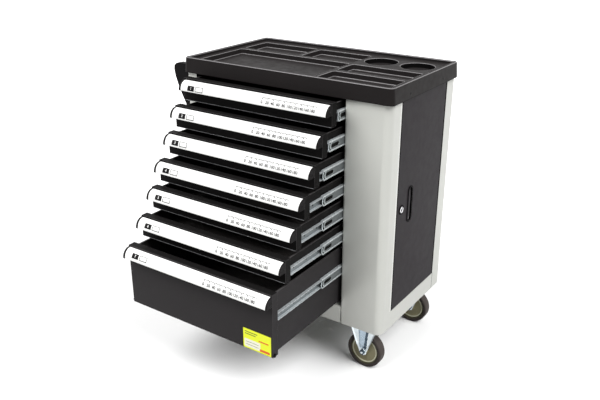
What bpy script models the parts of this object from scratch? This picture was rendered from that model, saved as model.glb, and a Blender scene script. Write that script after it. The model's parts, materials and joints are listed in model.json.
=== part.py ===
"""Rolling tool cabinet with seven drawers on telescopic slides, a side cupboard and four castors.

Metres, +Z up, floor at z = 0. The pieces are laid out in cabinet coordinates, whose x = 0 is the worktop's
left edge and whose y = 0 is its front edge, and the empty called cart carries them to the part's own frame,
whose origin is on the floor at the middle of the overall box. The drawers stand open in a staircase.
"""

import math

import bmesh
import bpy
from mathutils import Vector

for old in list(bpy.data.objects):
    bpy.data.objects.remove(old, do_unlink=True)

mm = 0.001

# Driving dimensions of the whole cabinet
worktop_width = 774 * mm
worktop_depth = 452 * mm
total_height = 970 * mm
apron_height = 50 * mm
wheel_radius = 62.5 * mm
castor_headroom = 40 * mm
base_height = 61 * mm
side_overhang = 4.5 * mm
front_overhang = 5.5 * mm
left_post_width = 41.5 * mm
right_post_width = 148.5 * mm
sheet = 1.2 * mm
clearance = 0.3 * mm
seam = 1 * mm
reveal = 2 * mm
overrun = 5 * mm

castor_height = 2 * wheel_radius + castor_headroom
cabinet_left = side_overhang
cabinet_right = worktop_width - side_overhang
cabinet_front = front_overhang
cabinet_back = worktop_depth - front_overhang
apron_bottom = total_height - apron_height
base_top = castor_height + base_height
opening_left = cabinet_left + left_post_width
opening_right = cabinet_right - right_post_width

# Worktop tray
apron_wall = 3 * mm
apron_flare = 4 * mm
worktop_corner = 14 * mm
rim_width = 12 * mm
rim_bevel = 2 * mm
deck_drop = 10 * mm
tray_depth = 17 * mm
tray_wall = 2.5 * mm
tray_draft = 2 * mm
tray_corner = 9 * mm
tray_border = 34 * mm
tray_back_border = 44 * mm
tray_rib = 22 * mm
cross_rib = 14 * mm
left_half_width = 446 * mm
rear_left_width = 228 * mm
rear_row_depth = 124 * mm
small_tray_front = 47 * mm
small_tray_depth = 96 * mm
can_radius = 55 * mm
can_rib = 15 * mm
can_gap = 21 * mm
can_centre_back = 104 * mm
deck_level = total_height - deck_drop
tray_floor_level = deck_level - tray_depth
tray_underside = tray_floor_level - tray_wall

# Posts, panels and base
right_corner_radius = 25 * mm
left_corner_radius = 10 * mm
rear_corner_radius = 10 * mm
post_return = 20 * mm
opening_flange = 20 * mm
right_post_side = 66.8 * mm
left_post_side = 60 * mm
rear_post_side = 59.6 * mm
panel_flange = 14 * mm
rail_lip = 22 * mm
beam_width = 104 * mm
beam_sheet = 1.5 * mm
frame_top = tray_underside - clearance
post_inner = cabinet_front + sheet + clearance
frame_inset = sheet + clearance
door_front = cabinet_front + right_post_side
door_back = cabinet_back - rear_post_side
left_panel_front = cabinet_front + left_post_side

# Drawers and their slides
shallow_count = 6
deep_front = 206 * mm
drawer_gap = 8 * mm
bottom_gap = 6 * mm
front_gap_side = 4.5 * mm
front_thickness = 25 * mm
front_hem = 8 * mm
tray_rise = 5 * mm
side_drop = 7 * mm
side_hem = 6 * mm
tray_rear_gap = 26 * mm
slide_space = 13.2 * mm
slide_start = 26 * mm
slide_rear_gap = 31 * mm
shallow_slide_share = 0.611
deep_slide_share = 0.388
outer_half = 22.5 * mm
middle_half = 16.5 * mm
inner_half = 11.5 * mm
outer_reach = 10.5 * mm
middle_back = 1.5 * mm
middle_reach = 11 * mm
inner_play = 0.5 * mm
first_stop_share = 0.368
second_stop_share = 0.606
open_shares = (0.176, 0.304, 0.409, 0.541, 0.653, 0.798, 0.969)
drawer_count = shallow_count + 1
drawer_space = apron_bottom - reveal - base_top - bottom_gap - deep_front
shallow_front = drawer_space / shallow_count - drawer_gap
tray_length = cabinet_back - cabinet_front - front_thickness - tray_rear_gap
slide_length = cabinet_back - cabinet_front - slide_start - slide_rear_gap
first_stop = first_stop_share * slide_length
second_stop = second_stop_share * slide_length
full_travel = first_stop + second_stop

# Pulls
pull_drop = 6.5 * mm
pull_out = 26.6 * mm
pull_height = 28.8 * mm
pull_rise = 1 * mm
pull_wall = 2 * mm
pull_hook = 6 * mm
pull_web = 27 * mm
pull_cap = 2 * mm
pull_cap_proud = 0.8 * mm

# Side door, its lock and its recessed pull
door_thickness = 16 * mm
door_lip = 15 * mm
hinge_radius = 3 * mm
recess_centre_y = 163 * mm
recess_centre_z = 571 * mm
recess_width = 27 * mm
recess_height = 118 * mm
recess_depth = 11 * mm
recess_wall = 1.5 * mm
recess_rim = 3 * mm
rim_proud = 1.7 * mm
lock_y = 105.5 * mm
lock_z = 570.5 * mm
lock_head_radius = 12 * mm
lock_head_proud = 2 * mm
lock_barrel_radius = 9.5 * mm
lock_length = 32 * mm
cam_thickness = 2.2 * mm
cam_width = 14 * mm
cam_length = 42 * mm
cam_play = 1.8 * mm
key_slot_width = 1.6 * mm
key_slot_length = 9 * mm
key_slot_depth = 6 * mm

# Push handle on the left side
bracket_front = 14 * mm
bracket_thickness = 24 * mm
bracket_reach = 63 * mm
bracket_drop = 26 * mm
bracket_height = 164 * mm
tube_radius = 12.5 * mm
tube_out = 42 * mm
tube_drop = 48 * mm
socket_depth = 10 * mm
bracket_high = total_height - bracket_drop
bracket_low = bracket_high - bracket_height
tube_level = total_height - tube_drop

# Castors
wheel_width = 32 * mm
hub_radius = 50 * mm
hub_width = 30 * mm
hub_boss_radius = 13 * mm
hub_web = 10 * mm
hub_rim = 6 * mm
tyre_crown = 2 * mm
axle_radius = 5 * mm
castor_side = 81 * mm
castor_front = 62 * mm
castor_rear = 45 * mm
plate_length = 104 * mm
plate_depth = 76 * mm
plate_thickness = 2.5 * mm
leg_thickness = 2.5 * mm
leg_play = 6 * mm
leg_foot = 13.5 * mm
leg_rib_width = 34 * mm
leg_rib_foot = 20 * mm
leg_rib_proud = 2.5 * mm
nut_radius = 9.5 * mm
nut_thickness = 7 * mm
trail = 35 * mm
race_radius = 30 * mm
race_height = 6 * mm
crown_radius = 34 * mm
crown_thickness = 10 * mm
kingpin_radius = 6 * mm
kingpin_nut = 8 * mm
pedal_pin_radius = 3 * mm
pedal_pin_back = 12 * mm
pedal_pin_rise = 10 * mm
shoe_from_angle = 105
shoe_to_angle = 125
pedal_length = 60 * mm
pedal_fall = 20 * mm
pedal_thickness = 5 * mm
pedal_pad = 16 * mm
pedal_pin_level = 2 * wheel_radius + pedal_pin_rise
brake_play = 2 * mm

wheel_sides = 32
round_sides = 24
corner_steps = 5

drawer_travel = [share * full_travel for share in open_shares]
overall_left = -bracket_reach
overall_front = cabinet_front - drawer_travel[-1] - pull_out - pull_cap_proud
cart_x = -(overall_left + worktop_width + apron_flare) / 2
cart_y = -(overall_front + worktop_depth + apron_flare) / 2


def finish(name, colour, roughness, metallic):
    material = bpy.data.materials.new(name)
    material.use_nodes = True
    shader = material.node_tree.nodes["Principled BSDF"]
    shader.inputs["Base Color"].default_value = (*colour, 1)
    shader.inputs["Roughness"].default_value = roughness
    shader.inputs["Metallic"].default_value = metallic
    return material


silver_paint = finish("silver_paint", (0.55, 0.56, 0.53), 0.45, 0.3)
dark_paint = finish("dark_paint", (0.06, 0.055, 0.06), 0.45, 0.1)
black_paint = finish("black_paint", (0.022, 0.02, 0.021), 0.4, 0.1)
black_plastic = finish("black_plastic", (0.02, 0.019, 0.02), 0.5, 0)
zinc = finish("zinc", (0.62, 0.66, 0.68), 0.3, 0.9)
aluminium = finish("aluminium", (0.85, 0.85, 0.84), 0.35, 0.6)
olive_plastic = finish("olive_plastic", (0.22, 0.22, 0.13), 0.5, 0)
rubber = finish("rubber", (0.06, 0.045, 0.045), 0.75, 0)


def arc(centre, radius, start, end, steps):
    """Points on a circle in a plane, from the start to the end angle in degrees."""
    return [
        (
            centre[0] + radius * math.cos(math.radians(start + (end - start) * i / steps)),
            centre[1] + radius * math.sin(math.radians(start + (end - start) * i / steps)),
        )
        for i in range(steps + 1)
    ]


def rounded(low, high, radius):
    """Outline of a rectangle with rounded corners."""
    (a0, b0), (a1, b1) = low, high
    return (
        arc((a1 - radius, b0 + radius), radius, -90, 0, corner_steps)
        + arc((a1 - radius, b1 - radius), radius, 0, 90, corner_steps)
        + arc((a0 + radius, b1 - radius), radius, 90, 180, corner_steps)
        + arc((a0 + radius, b0 + radius), radius, 180, 270, corner_steps)
    )


def folded(path, thickness):
    """Outline of sheet metal folded along a path, its thickness on the left of the path."""
    inner = []
    for i, point in enumerate(path):
        sides = []
        for start, end in ((i - 1, i), (i, i + 1)):
            if start >= 0 and end < len(path):
                along = (Vector(path[end]) - Vector(path[start])).normalized()
                sides.append(Vector((-along.y, along.x)))
        first, last = sides[0], sides[-1]
        shift = (first + last) * thickness / (1 + first.dot(last))
        inner.append((point[0] + shift.x, point[1] + shift.y))
    return list(path) + inner[::-1]


def loft(rings):
    """Solid through rings of the same number of points, closed by the first and the last."""
    shape = bmesh.new()
    rows = [[shape.verts.new(point) for point in ring] for ring in rings]
    for lower, upper in zip(rows, rows[1:]):
        for i, vert in enumerate(lower):
            j = (i + 1) % len(lower)
            shape.faces.new((vert, lower[j], upper[j], upper[i]))
    shape.faces.new(rows[0][::-1])
    shape.faces.new(rows[-1])
    bmesh.ops.recalc_face_normals(shape, faces=shape.faces)
    return shape


def placed(point, along, axis):
    a, b = point
    return {"x": (along, a, b), "y": (a, along, b), "z": (a, b, along)}[axis]


def prism(outline, axis, start, end):
    """Solid of one outline, drawn in the two other axes, drawn out along an axis."""
    return loft([[placed(point, level, axis) for point in outline] for level in (start, end)])


def box(low, high):
    (x0, y0, z0), (x1, y1, z1) = low, high
    return prism([(x0, y0), (x1, y0), (x1, y1), (x0, y1)], "z", z0, z1)


def cylinder(centre, radius, axis, start, end, sides=round_sides):
    outline = arc(centre, radius, 0, 360, sides)[:-1]
    return prism(outline, axis, start, end)


def turned(profile, centre, axis, sides):
    """Ring whose section is a closed profile of (radius, place along the axis), one flat facet facing down."""
    shape = bmesh.new()
    flat = math.cos(math.pi / sides)
    rows = []
    for i in range(sides):
        angle = 2 * math.pi * (i + 0.5) / sides - math.pi / 2
        rows.append(
            [
                shape.verts.new(
                    placed(
                        (
                            centre[0] + radius / flat * math.cos(angle),
                            centre[1] + radius / flat * math.sin(angle),
                        ),
                        along,
                        axis,
                    )
                )
                for radius, along in profile
            ]
        )
    for i, row in enumerate(rows):
        after = rows[(i + 1) % sides]
        for j, vert in enumerate(row):
            k = (j + 1) % len(row)
            shape.faces.new((vert, row[k], after[k], after[j]))
    bmesh.ops.recalc_face_normals(shape, faces=shape.faces)
    return shape


cart = bpy.data.objects.new("cart", None)
cart.location = (cart_x, cart_y, 0)
bpy.context.scene.collection.objects.link(cart)
body_places = {"root": Vector((0, 0, 0))}
body_empties = {"root": cart}


def moving_body(name, place, parent="root"):
    """An empty on the joint's axis, which the body's pieces hang from."""
    empty = bpy.data.objects.new(name + "_axis", None)
    empty.location = Vector(place) - body_places[parent]
    empty.parent = body_empties[parent]
    bpy.context.scene.collection.objects.link(empty)
    body_places[name] = Vector(place)
    body_empties[name] = empty


def solid_object(name, body, shape, group):
    bmesh.ops.translate(shape, vec=-body_places[body], verts=shape.verts)
    mesh = bpy.data.meshes.new(name)
    shape.to_mesh(mesh)
    shape.free()
    mesh.shade_smooth()
    mesh.set_sharp_from_angle(angle=math.radians(30))
    made = bpy.data.objects.new(name, mesh)
    made.parent = body_empties[body]
    group.objects.link(made)
    return made


def add_boolean(target, operation, body, shapes):
    """Joins or cuts all the shapes at once; they stay in the scene as wires that don't render."""
    group = bpy.data.collections.new(f"{target.name}_{operation.lower()}")
    group.hide_render = True
    bpy.context.scene.collection.children.link(group)
    for number, shape in enumerate(shapes, 1):
        helper = solid_object(f"{group.name}_{number}", body, shape, group)
        helper.hide_render = True
        helper.display_type = "WIRE"
    modifier = target.modifiers.new(operation.title(), "BOOLEAN")
    modifier.operation = operation
    modifier.operand_type = "COLLECTION"
    modifier.collection = group


def piece(name, body, material, shapes, cuts=()):
    """One named solid: the first shape, joined with the others, less the cuts."""
    made = solid_object(name, body, shapes[0], bpy.context.scene.collection)
    made.data.materials.append(material)
    if len(shapes) > 1:
        add_boolean(made, "UNION", body, shapes[1:])
    if cuts:
        add_boolean(made, "DIFFERENCE", body, cuts)
    return made


# Worktop: one moulded tray with an apron, a raised rim, five trays and two can holders


def worktop_outline(inset):
    radius = max(worktop_corner - inset, worktop_corner / 4)
    return rounded((inset, inset), (worktop_width - inset, worktop_depth - inset), radius)


def levels(outline_of, steps):
    """Rings for loft: outline_of(grow) at each (grow, level)."""
    return [[(x, y, level) for x, y in outline_of(grow)] for grow, level in steps]


def make_worktop():
    left_right = tray_border + left_half_width
    right_left = left_right + cross_rib
    right_right = worktop_width - tray_border
    rear_back = worktop_depth - tray_back_border
    rear_front = rear_back - rear_row_depth
    second_front = small_tray_front + small_tray_depth + tray_rib
    split = tray_border + rear_left_width
    trays = [
        ((tray_border, tray_border), (left_right, rear_front - tray_rib)),
        ((tray_border, rear_front), (split, rear_back)),
        ((split + cross_rib, rear_front), (left_right, rear_back)),
        ((right_left, small_tray_front), (right_right, small_tray_front + small_tray_depth)),
        ((right_left, second_front), (right_right, second_front + small_tray_depth)),
    ]
    can_y = worktop_depth - can_centre_back
    first_can = left_right + can_rib + can_radius
    cans = [(first_can, can_y), (first_can + 2 * can_radius + can_gap, can_y)]

    def tray_outline(low, high):
        return lambda grow: rounded(
            (low[0] - grow, low[1] - grow), (high[0] + grow, high[1] + grow), tray_corner + grow
        )

    def can_outline(centre):
        return lambda grow: arc(centre, can_radius + grow, 0, 360, wheel_sides)[:-1]

    outlines = [tray_outline(*tray) for tray in trays] + [can_outline(can) for can in cans]
    deck_underside = deck_level - apron_wall
    shell = loft(
        levels(
            lambda grow: worktop_outline(-grow),
            (
                (apron_flare, apron_bottom),
                (0, total_height - rim_bevel),
                (-rim_bevel, total_height),
            ),
        )
    )
    slope = apron_flare / (total_height - rim_bevel - apron_bottom)
    hollow = loft(
        levels(
            lambda grow: worktop_outline(apron_wall - grow),
            (
                (apron_flare + slope * overrun, apron_bottom - overrun),
                (apron_flare - slope * (deck_underside - apron_bottom), deck_underside),
            ),
        )
    )
    worktop = piece("worktop", "root", black_plastic, [shell], [hollow])
    tubs = [
        loft(
            levels(
                outline,
                ((tray_wall - tray_draft, tray_underside), (tray_wall, deck_level - apron_wall / 2)),
            )
        )
        for outline in outlines
    ]
    pockets = [
        loft(levels(outline, ((-tray_draft, tray_floor_level), (0, deck_level + rim_bevel))))
        for outline in outlines
    ]
    recess = prism(worktop_outline(rim_width), "z", deck_level, total_height + overrun)
    add_boolean(worktop, "UNION", "root", tubs)
    add_boolean(worktop, "DIFFERENCE", "root", pockets + [recess])


make_worktop()


def footprint(inset):
    """Outline of the cabinet as seen from above, with its three corner roundings, pulled inwards."""
    left, right = cabinet_left, cabinet_right
    front, back = cabinet_front, cabinet_back
    wide, small, rear = right_corner_radius, left_corner_radius, rear_corner_radius
    return (
        arc((left + small, front + small), small - inset, 180, 270, corner_steps)
        + arc((right - wide, front + wide), wide - inset, 270, 360, 2 * corner_steps)
        + arc((right - rear, back - rear), rear - inset, 0, 90, corner_steps)
        + arc((left + rear, back - rear), rear - inset, 90, 180, corner_steps)
    )


# Top frame: a shallow steel pan under the worktop that ties the posts together
pan_outline = footprint(frame_inset)
pan_hollow_outline = footprint(frame_inset + sheet)
piece(
    "top_frame",
    "root",
    black_paint,
    [prism(pan_outline, "z", apron_bottom, frame_top)],
    [prism(pan_hollow_outline, "z", apron_bottom - overrun, frame_top - sheet)],
)

# Posts and outer shell: folded sheet, the outer faces running up inside the apron
flange_top = apron_bottom - clearance


def make_right_front_post():
    """Wide rounded post that carries on as the rail and sill under the side door."""
    corner = arc(
        (cabinet_right - right_corner_radius, cabinet_front + right_corner_radius),
        right_corner_radius,
        -90,
        0,
        2 * corner_steps,
    )
    outside = [(opening_right, cabinet_front), *corner, (cabinet_right, door_front)]
    whole = [
        (opening_right, cabinet_front + post_return),
        *outside,
        (cabinet_right - opening_flange, door_front),
    ]
    rail_back = door_back - seam
    rail_front = cabinet_front + right_corner_radius + sheet
    sill_top = base_top - sheet
    rail = [
        (cabinet_right - opening_flange, sill_top),
        (cabinet_right - opening_flange, sill_top - sheet),
        (cabinet_right - sheet, sill_top - sheet),
        (cabinet_right - sheet, castor_height + sheet),
        (cabinet_right - opening_flange, castor_height + sheet),
        (cabinet_right - opening_flange, castor_height),
        (cabinet_right, castor_height),
        (cabinet_right, sill_top),
    ]
    hinge_hole = cylinder(
        (hinge_x, hinge_y), hinge_radius + clearance, "z", sill_top - overrun, sill_top + overrun
    )
    piece(
        "right_front_post",
        "root",
        silver_paint,
        [
            prism(folded(whole, sheet), "z", castor_height, flange_top),
            prism(folded(outside, sheet), "z", castor_height, frame_top),
            prism(rail, "y", rail_front, rail_back),
        ],
        [hinge_hole],
    )


door_outside = cabinet_right
door_inside = door_outside - door_thickness
hinge_x = door_outside - door_thickness / 2
hinge_y = door_back - reveal - door_thickness / 2
make_right_front_post()

left_corner = arc(
    (cabinet_left + left_corner_radius, cabinet_front + left_corner_radius),
    left_corner_radius,
    180,
    270,
    corner_steps,
)
left_post_path = [(cabinet_left, left_panel_front), *left_corner, (opening_left, cabinet_front)]
piece(
    "left_front_post",
    "root",
    silver_paint,
    [prism(folded(left_post_path, sheet), "z", castor_height, frame_top)],
)

# Rear shell: the back and both rear posts in one folded sheet
rear_right_corner = arc(
    (cabinet_right - rear_corner_radius, cabinet_back - rear_corner_radius),
    rear_corner_radius,
    0,
    90,
    corner_steps,
)
rear_left_corner = arc(
    (cabinet_left + rear_corner_radius, cabinet_back - rear_corner_radius),
    rear_corner_radius,
    90,
    180,
    corner_steps,
)
rear_path = [
    (cabinet_right, door_back),
    *rear_right_corner,
    *rear_left_corner,
    (cabinet_left, door_back),
]
rear_flanged = [(cabinet_right - opening_flange, door_back), *rear_path]
piece(
    "rear_shell",
    "root",
    silver_paint,
    [
        prism(folded(rear_flanged, sheet), "z", castor_height, flange_top),
        prism(folded(rear_path, sheet), "z", castor_height, frame_top),
    ],
)

# Left side panel: a shallow pan between the left posts
panel_front = left_panel_front + clearance
panel_back = door_back - clearance
panel_low = base_top + clearance
panel_high = flange_top
piece(
    "left_side_panel",
    "root",
    dark_paint,
    [
        box(
            (cabinet_left, panel_front, panel_low),
            (cabinet_left + panel_flange, panel_back, panel_high),
        )
    ],
    [
        box(
            (cabinet_left + sheet, panel_front + sheet, panel_low + sheet),
            (cabinet_left + panel_flange + overrun, panel_back - sheet, panel_high - sheet),
        )
    ],
)

# Base pan: floor, front rail, left rail and the two beams that the castors bolt to


def make_base_pan():
    floor_right = cabinet_right - opening_flange - clearance
    rail_left = opening_left + clearance
    rail_right = opening_right - clearance
    floor_low = base_top - sheet
    shapes = [
        prism(
            folded(
                [
                    (cabinet_front + rail_lip, castor_height),
                    (cabinet_front, castor_height),
                    (cabinet_front, base_top),
                    (cabinet_front + rail_lip, base_top),
                ],
                -sheet,
            ),
            "x",
            rail_left,
            rail_right,
        ),
        prism(
            folded(
                [
                    (cabinet_left + rail_lip, castor_height),
                    (cabinet_left, castor_height),
                    (cabinet_left, base_top),
                    (cabinet_left + rail_lip, base_top),
                ],
                -sheet,
            ),
            "y",
            panel_front,
            panel_back,
        ),
    ]
    beam_front = cabinet_front + rail_lip / 2
    beam_back = cabinet_back - frame_inset - sheet / 2
    for centre in (castor_side, worktop_width - castor_side):
        left = centre - beam_width / 2
        right = centre + beam_width / 2
        path = [(left, floor_low + sheet / 2), (left, castor_height), (right, castor_height)]
        path.append((right, floor_low + sheet / 2))
        shapes.append(prism(folded(path, beam_sheet), "y", beam_front, beam_back))
    notch = box(
        (opening_right - clearance, cabinet_front - overrun, castor_height - overrun),
        (opening_right + frame_inset, cabinet_front + post_return + clearance, base_top + overrun),
    )
    open_end = box(
        (floor_right, -overrun, castor_height - overrun),
        (worktop_width, worktop_depth, base_top + overrun),
    )
    hollow = prism(pan_hollow_outline, "z", castor_height - overrun, floor_low)
    pan = prism(pan_outline, "z", base_top - rail_lip, base_top)
    made = piece("base_pan", "root", silver_paint, [pan], [hollow, open_end])
    add_boolean(made, "UNION", "root", shapes)
    add_boolean(made, "DIFFERENCE", "root", [notch])


make_base_pan()

# Drawer heights, from the top: each front's top edge, its height and its slide's middle
front_tops = [apron_bottom - reveal - i * (shallow_front + drawer_gap) for i in range(drawer_count)]
front_heights = [shallow_front] * shallow_count + [deep_front]
slide_shares = [shallow_slide_share] * shallow_count + [deep_slide_share]
slide_levels = [
    top - share * height for top, share, height in zip(front_tops, slide_shares, front_heights)
]
slide_front = cabinet_front + slide_start
slide_back = slide_front + slide_length


def channel_flanges(wall, inward):
    """The two lips of each fixed outer slide member, thick enough to hold its ball cages."""
    low_x, high_x = sorted((wall - inward * sheet / 2, wall + inward * outer_reach))
    inner = middle_half + clearance
    flanges = []
    for level in slide_levels:
        for start, end in ((level + inner, level + outer_half), (level - outer_half, level - inner)):
            flanges.append(box((low_x, slide_front, start), (high_x, slide_back, end)))
    return flanges


wall_low = base_top + clearance
wall_high = flange_top
wall_back = cabinet_back - frame_inset
piece(
    "left_runner_wall",
    "root",
    black_paint,
    [box((opening_left - sheet, post_inner, wall_low), (opening_left, wall_back, wall_high))]
    + channel_flanges(opening_left, 1),
)
divider_front = cabinet_front + post_return + clearance
piece(
    "divider_wall",
    "root",
    black_paint,
    [box((opening_right, divider_front, wall_low), (opening_right + sheet, wall_back, wall_high))]
    + channel_flanges(opening_right, -1),
)

# Drawers: sliding middle members on the cabinet, then the trays and their pulls on those
front_left = opening_left + front_gap_side
front_right = opening_right - front_gap_side
tray_left = opening_left + slide_space
tray_right = opening_right - slide_space


def middle_member(name, body, wall, inward, level, out):
    """Sliding C channel, its back to the wall, with its ball cages in its flanges."""
    back = wall + inward * middle_back
    tip = wall + inward * middle_reach
    web = back + inward * sheet
    inner = inner_half + clearance
    outline = [
        (back, level - middle_half),
        (tip, level - middle_half),
        (tip, level - inner),
        (web, level - inner),
        (web, level + inner),
        (tip, level + inner),
        (tip, level + middle_half),
        (back, level + middle_half),
    ]
    piece(name, body, zinc, [prism(outline, "y", slide_front - out, slide_back - out)])


def drawer_tray(name, body, face, top, height, level):
    """Double-walled front, tray and the inner slide members riveted to the tray's sides."""
    low = top - height
    floor = low + tray_rise
    side_top = top - side_drop
    pan_back = face + front_thickness
    back = face + front_thickness + tray_length
    front_path = [(pan_back, floor), (pan_back, top), (face, top), (face, low), (face + front_hem, low)]
    tray_path = [
        (tray_left + side_hem, side_top),
        (tray_left, side_top),
        (tray_left, floor),
        (tray_right, floor),
        (tray_right, side_top),
        (tray_right - side_hem, side_top),
    ]
    shapes = [
        prism(folded(front_path, sheet), "x", front_left, front_right),
        prism(folded(tray_path, sheet), "y", pan_back - sheet / 2, back),
        box((tray_left, back - sheet, floor), (tray_right, back, side_top)),
    ]
    for start in (front_left, front_right - sheet):
        shapes.append(box((start, face, low), (start + sheet, pan_back, top)))
    flange_start = pan_back - sheet / 2
    flange_end = pan_back + slide_length
    reach = slide_space - middle_back - sheet - inner_play
    for wall, inward in ((tray_left, 1), (tray_right, -1)):
        low_x, high_x = sorted((wall + inward * sheet / 2, wall - inward * reach))
        for edge in (level + inner_half - sheet, level - inner_half):
            shapes.append(box((low_x, flange_start, edge), (high_x, flange_end, edge + sheet)))
    piece(name, body, black_paint, shapes)


def drawer_pull(name, body, face, top):
    """Extruded pull along the top of the front: a curved face, open below for the fingers, capped ends."""
    back = face - clearance
    foot = top - pull_drop - pull_height
    reach = pull_out - clearance

    def curve(grow):
        rise = pull_height + pull_rise + grow
        return [
            (
                back - (reach + grow) * math.sin(math.pi / 2 * i / (2 * corner_steps)),
                foot + rise * math.cos(math.pi / 2 * i / (2 * corner_steps)),
            )
            for i in range(2 * corner_steps + 1)
        ]

    web_foot = foot + pull_height - pull_web
    path = [(back, web_foot), *curve(0), (back - reach + pull_hook, foot)]
    cap = curve(pull_cap_proud) + [
        (back - reach - pull_cap_proud, foot - pull_cap_proud),
        (back, foot - pull_cap_proud),
    ]
    piece(
        name,
        body,
        aluminium,
        [
            prism(folded(path, pull_wall), "x", front_left + pull_cap / 2, front_right - pull_cap / 2),
            prism(cap, "x", front_left, front_left + pull_cap),
            prism(cap, "x", front_right - pull_cap, front_right),
        ],
    )


for index in range(drawer_count):
    number = index + 1
    travel = drawer_travel[index]
    runner_out = min(travel, first_stop)
    face = cabinet_front - travel
    level = slide_levels[index]
    runner = f"runner_{number}"
    drawer = f"drawer_{number}"
    moving_body(runner, (opening_left, slide_front - runner_out, level))
    moving_body(drawer, (tray_left, face, level), runner)
    middle_member(f"{drawer}_slide_left", runner, opening_left, 1, level, runner_out)
    middle_member(f"{drawer}_slide_right", runner, opening_right, -1, level, runner_out)
    drawer_tray(f"{drawer}_tray", drawer, face, front_tops[index], front_heights[index], level)
    drawer_pull(f"{drawer}_pull", drawer, face, front_tops[index])

# Side door: a hollow steel leaf that turns on a long rod in its round rear edge
door_low = base_top - sheet + reveal
door_high = apron_bottom - reveal
door_edge = door_front + reveal
moving_body("side_door", (hinge_x, hinge_y, door_low))


def slot_outline(width, height):
    """Upright slot round the recess's middle, in y and z, with round ends."""
    radius = width / 2
    straight = height / 2 - radius
    return arc((recess_centre_y, recess_centre_z + straight), radius, 0, 180, 2 * corner_steps) + arc(
        (recess_centre_y, recess_centre_z - straight), radius, 180, 360, 2 * corner_steps
    )


def make_side_door():
    edge = arc((hinge_x, hinge_y), door_thickness / 2, 0, 180, 2 * corner_steps)
    path = [
        (door_inside, door_edge + door_lip),
        (door_inside, door_edge),
        (door_outside, door_edge),
        *edge,
        (door_inside, hinge_y - door_lip),
    ]
    cap = [(door_inside, door_edge), (door_outside, door_edge), *edge]
    hole = hinge_radius + clearance
    piece(
        "side_door_panel",
        "side_door",
        dark_paint,
        [
            prism(folded(path, sheet), "z", door_low, door_high),
            prism(cap, "z", door_low, door_low + sheet),
            prism(cap, "z", door_high - sheet, door_high),
        ],
        [
            cylinder((hinge_x, hinge_y), hole, "z", door_low - overrun, door_high + overrun),
            prism(
                slot_outline(recess_width, recess_height),
                "x",
                door_outside - sheet - overrun,
                door_outside + overrun,
            ),
            cylinder(
                (lock_y, lock_z),
                lock_barrel_radius + clearance,
                "x",
                door_outside - sheet - overrun,
                door_outside + overrun,
            ),
        ],
    )


make_side_door()

# Recessed pull: a moulded cup pressed into the door's slot
cup_width = recess_width - 2 * clearance
cup_height = recess_height - 2 * clearance
cup_back = door_outside - recess_depth - recess_wall
cup_front = door_outside + clearance + rim_proud
piece(
    "side_door_pull",
    "side_door",
    black_plastic,
    [
        prism(slot_outline(cup_width, cup_height), "x", cup_back, cup_front),
        prism(
            slot_outline(cup_width + 2 * recess_rim, cup_height + 2 * recess_rim),
            "x",
            door_outside + clearance,
            cup_front,
        ),
    ],
    [
        prism(
            slot_outline(cup_width - 2 * recess_wall, cup_height - 2 * recess_wall),
            "x",
            cup_back + recess_wall,
            cup_front + overrun,
        )
    ],
)

# Hinge rod: stands in the sill and reaches up to the top frame
piece(
    "side_door_hinge_rod",
    "root",
    zinc,
    [
        cylinder(
            (hinge_x, hinge_y),
            hinge_radius,
            "z",
            base_top - sheet - 2 * reveal,
            frame_top - sheet - clearance,
            round_sides // 2,
        )
    ],
)

# Cam lock: at rest it hangs unlocked, and a quarter turn puts the cam behind the post's flange
moving_body("door_lock", (door_outside, lock_y, lock_z), "side_door")
cam_outside = cabinet_right - opening_flange - cam_play
cam_round = arc((lock_y, lock_z - cam_length + cam_width / 2), cam_width / 2, 180, 360, 2 * corner_steps)
key_front = door_outside + clearance + lock_head_proud
piece(
    "door_lock_cam",
    "door_lock",
    zinc,
    [
        cylinder((lock_y, lock_z), lock_barrel_radius, "x", door_outside - lock_length, key_front),
        cylinder((lock_y, lock_z), lock_head_radius, "x", door_outside + clearance, key_front),
        prism(
            [(lock_y + cam_width / 2, lock_z), (lock_y - cam_width / 2, lock_z), *cam_round],
            "x",
            cam_outside - cam_thickness,
            cam_outside,
        ),
    ],
    [
        box(
            (key_front - key_slot_depth, lock_y - key_slot_width / 2, lock_z - key_slot_length / 2),
            (key_front + overrun, lock_y + key_slot_width / 2, lock_z + key_slot_length / 2),
        )
    ],
)

# Push handle: two moulded horns on the left posts and a tube between them


def bracket_outline():
    """Front view of a horn, as shares of its reach and height from its foot against the post."""
    reach_shares = (0.0, 0.24, 0.53, 0.77, 0.93, 1.0, 0.97, 0.84, 0.62, 0.3)
    rise_shares = (0.0, 0.13, 0.34, 0.54, 0.71, 0.85, 0.93, 0.98, 1.0, 1.0)
    outline = [
        (-share * bracket_reach, bracket_low + rise * bracket_height)
        for share, rise in zip(reach_shares, rise_shares)
    ]
    beside_apron = -apron_flare - clearance
    against_post = cabinet_left - clearance
    outline[0] = (against_post, bracket_low)
    return outline + [
        (beside_apron, bracket_high),
        (beside_apron, apron_bottom - clearance),
        (against_post, apron_bottom - clearance),
    ]


bracket_spans = {
    "handle_bracket_front": (bracket_front, bracket_front + bracket_thickness),
    "handle_bracket_rear": (
        worktop_depth - bracket_front - bracket_thickness,
        worktop_depth - bracket_front,
    ),
}
tube_start = bracket_spans["handle_bracket_front"][1] - socket_depth
tube_end = bracket_spans["handle_bracket_rear"][0] + socket_depth
for name, (start, end) in bracket_spans.items():
    socket = cylinder(
        (-tube_out, tube_level),
        tube_radius + clearance,
        "y",
        tube_start - clearance,
        tube_end + clearance,
    )
    piece(name, "root", black_plastic, [prism(bracket_outline(), "y", start, end)], [socket])
piece(
    "handle_tube",
    "root",
    black_paint,
    [cylinder((-tube_out, tube_level), tube_radius, "y", tube_start, tube_end)],
)

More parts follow.
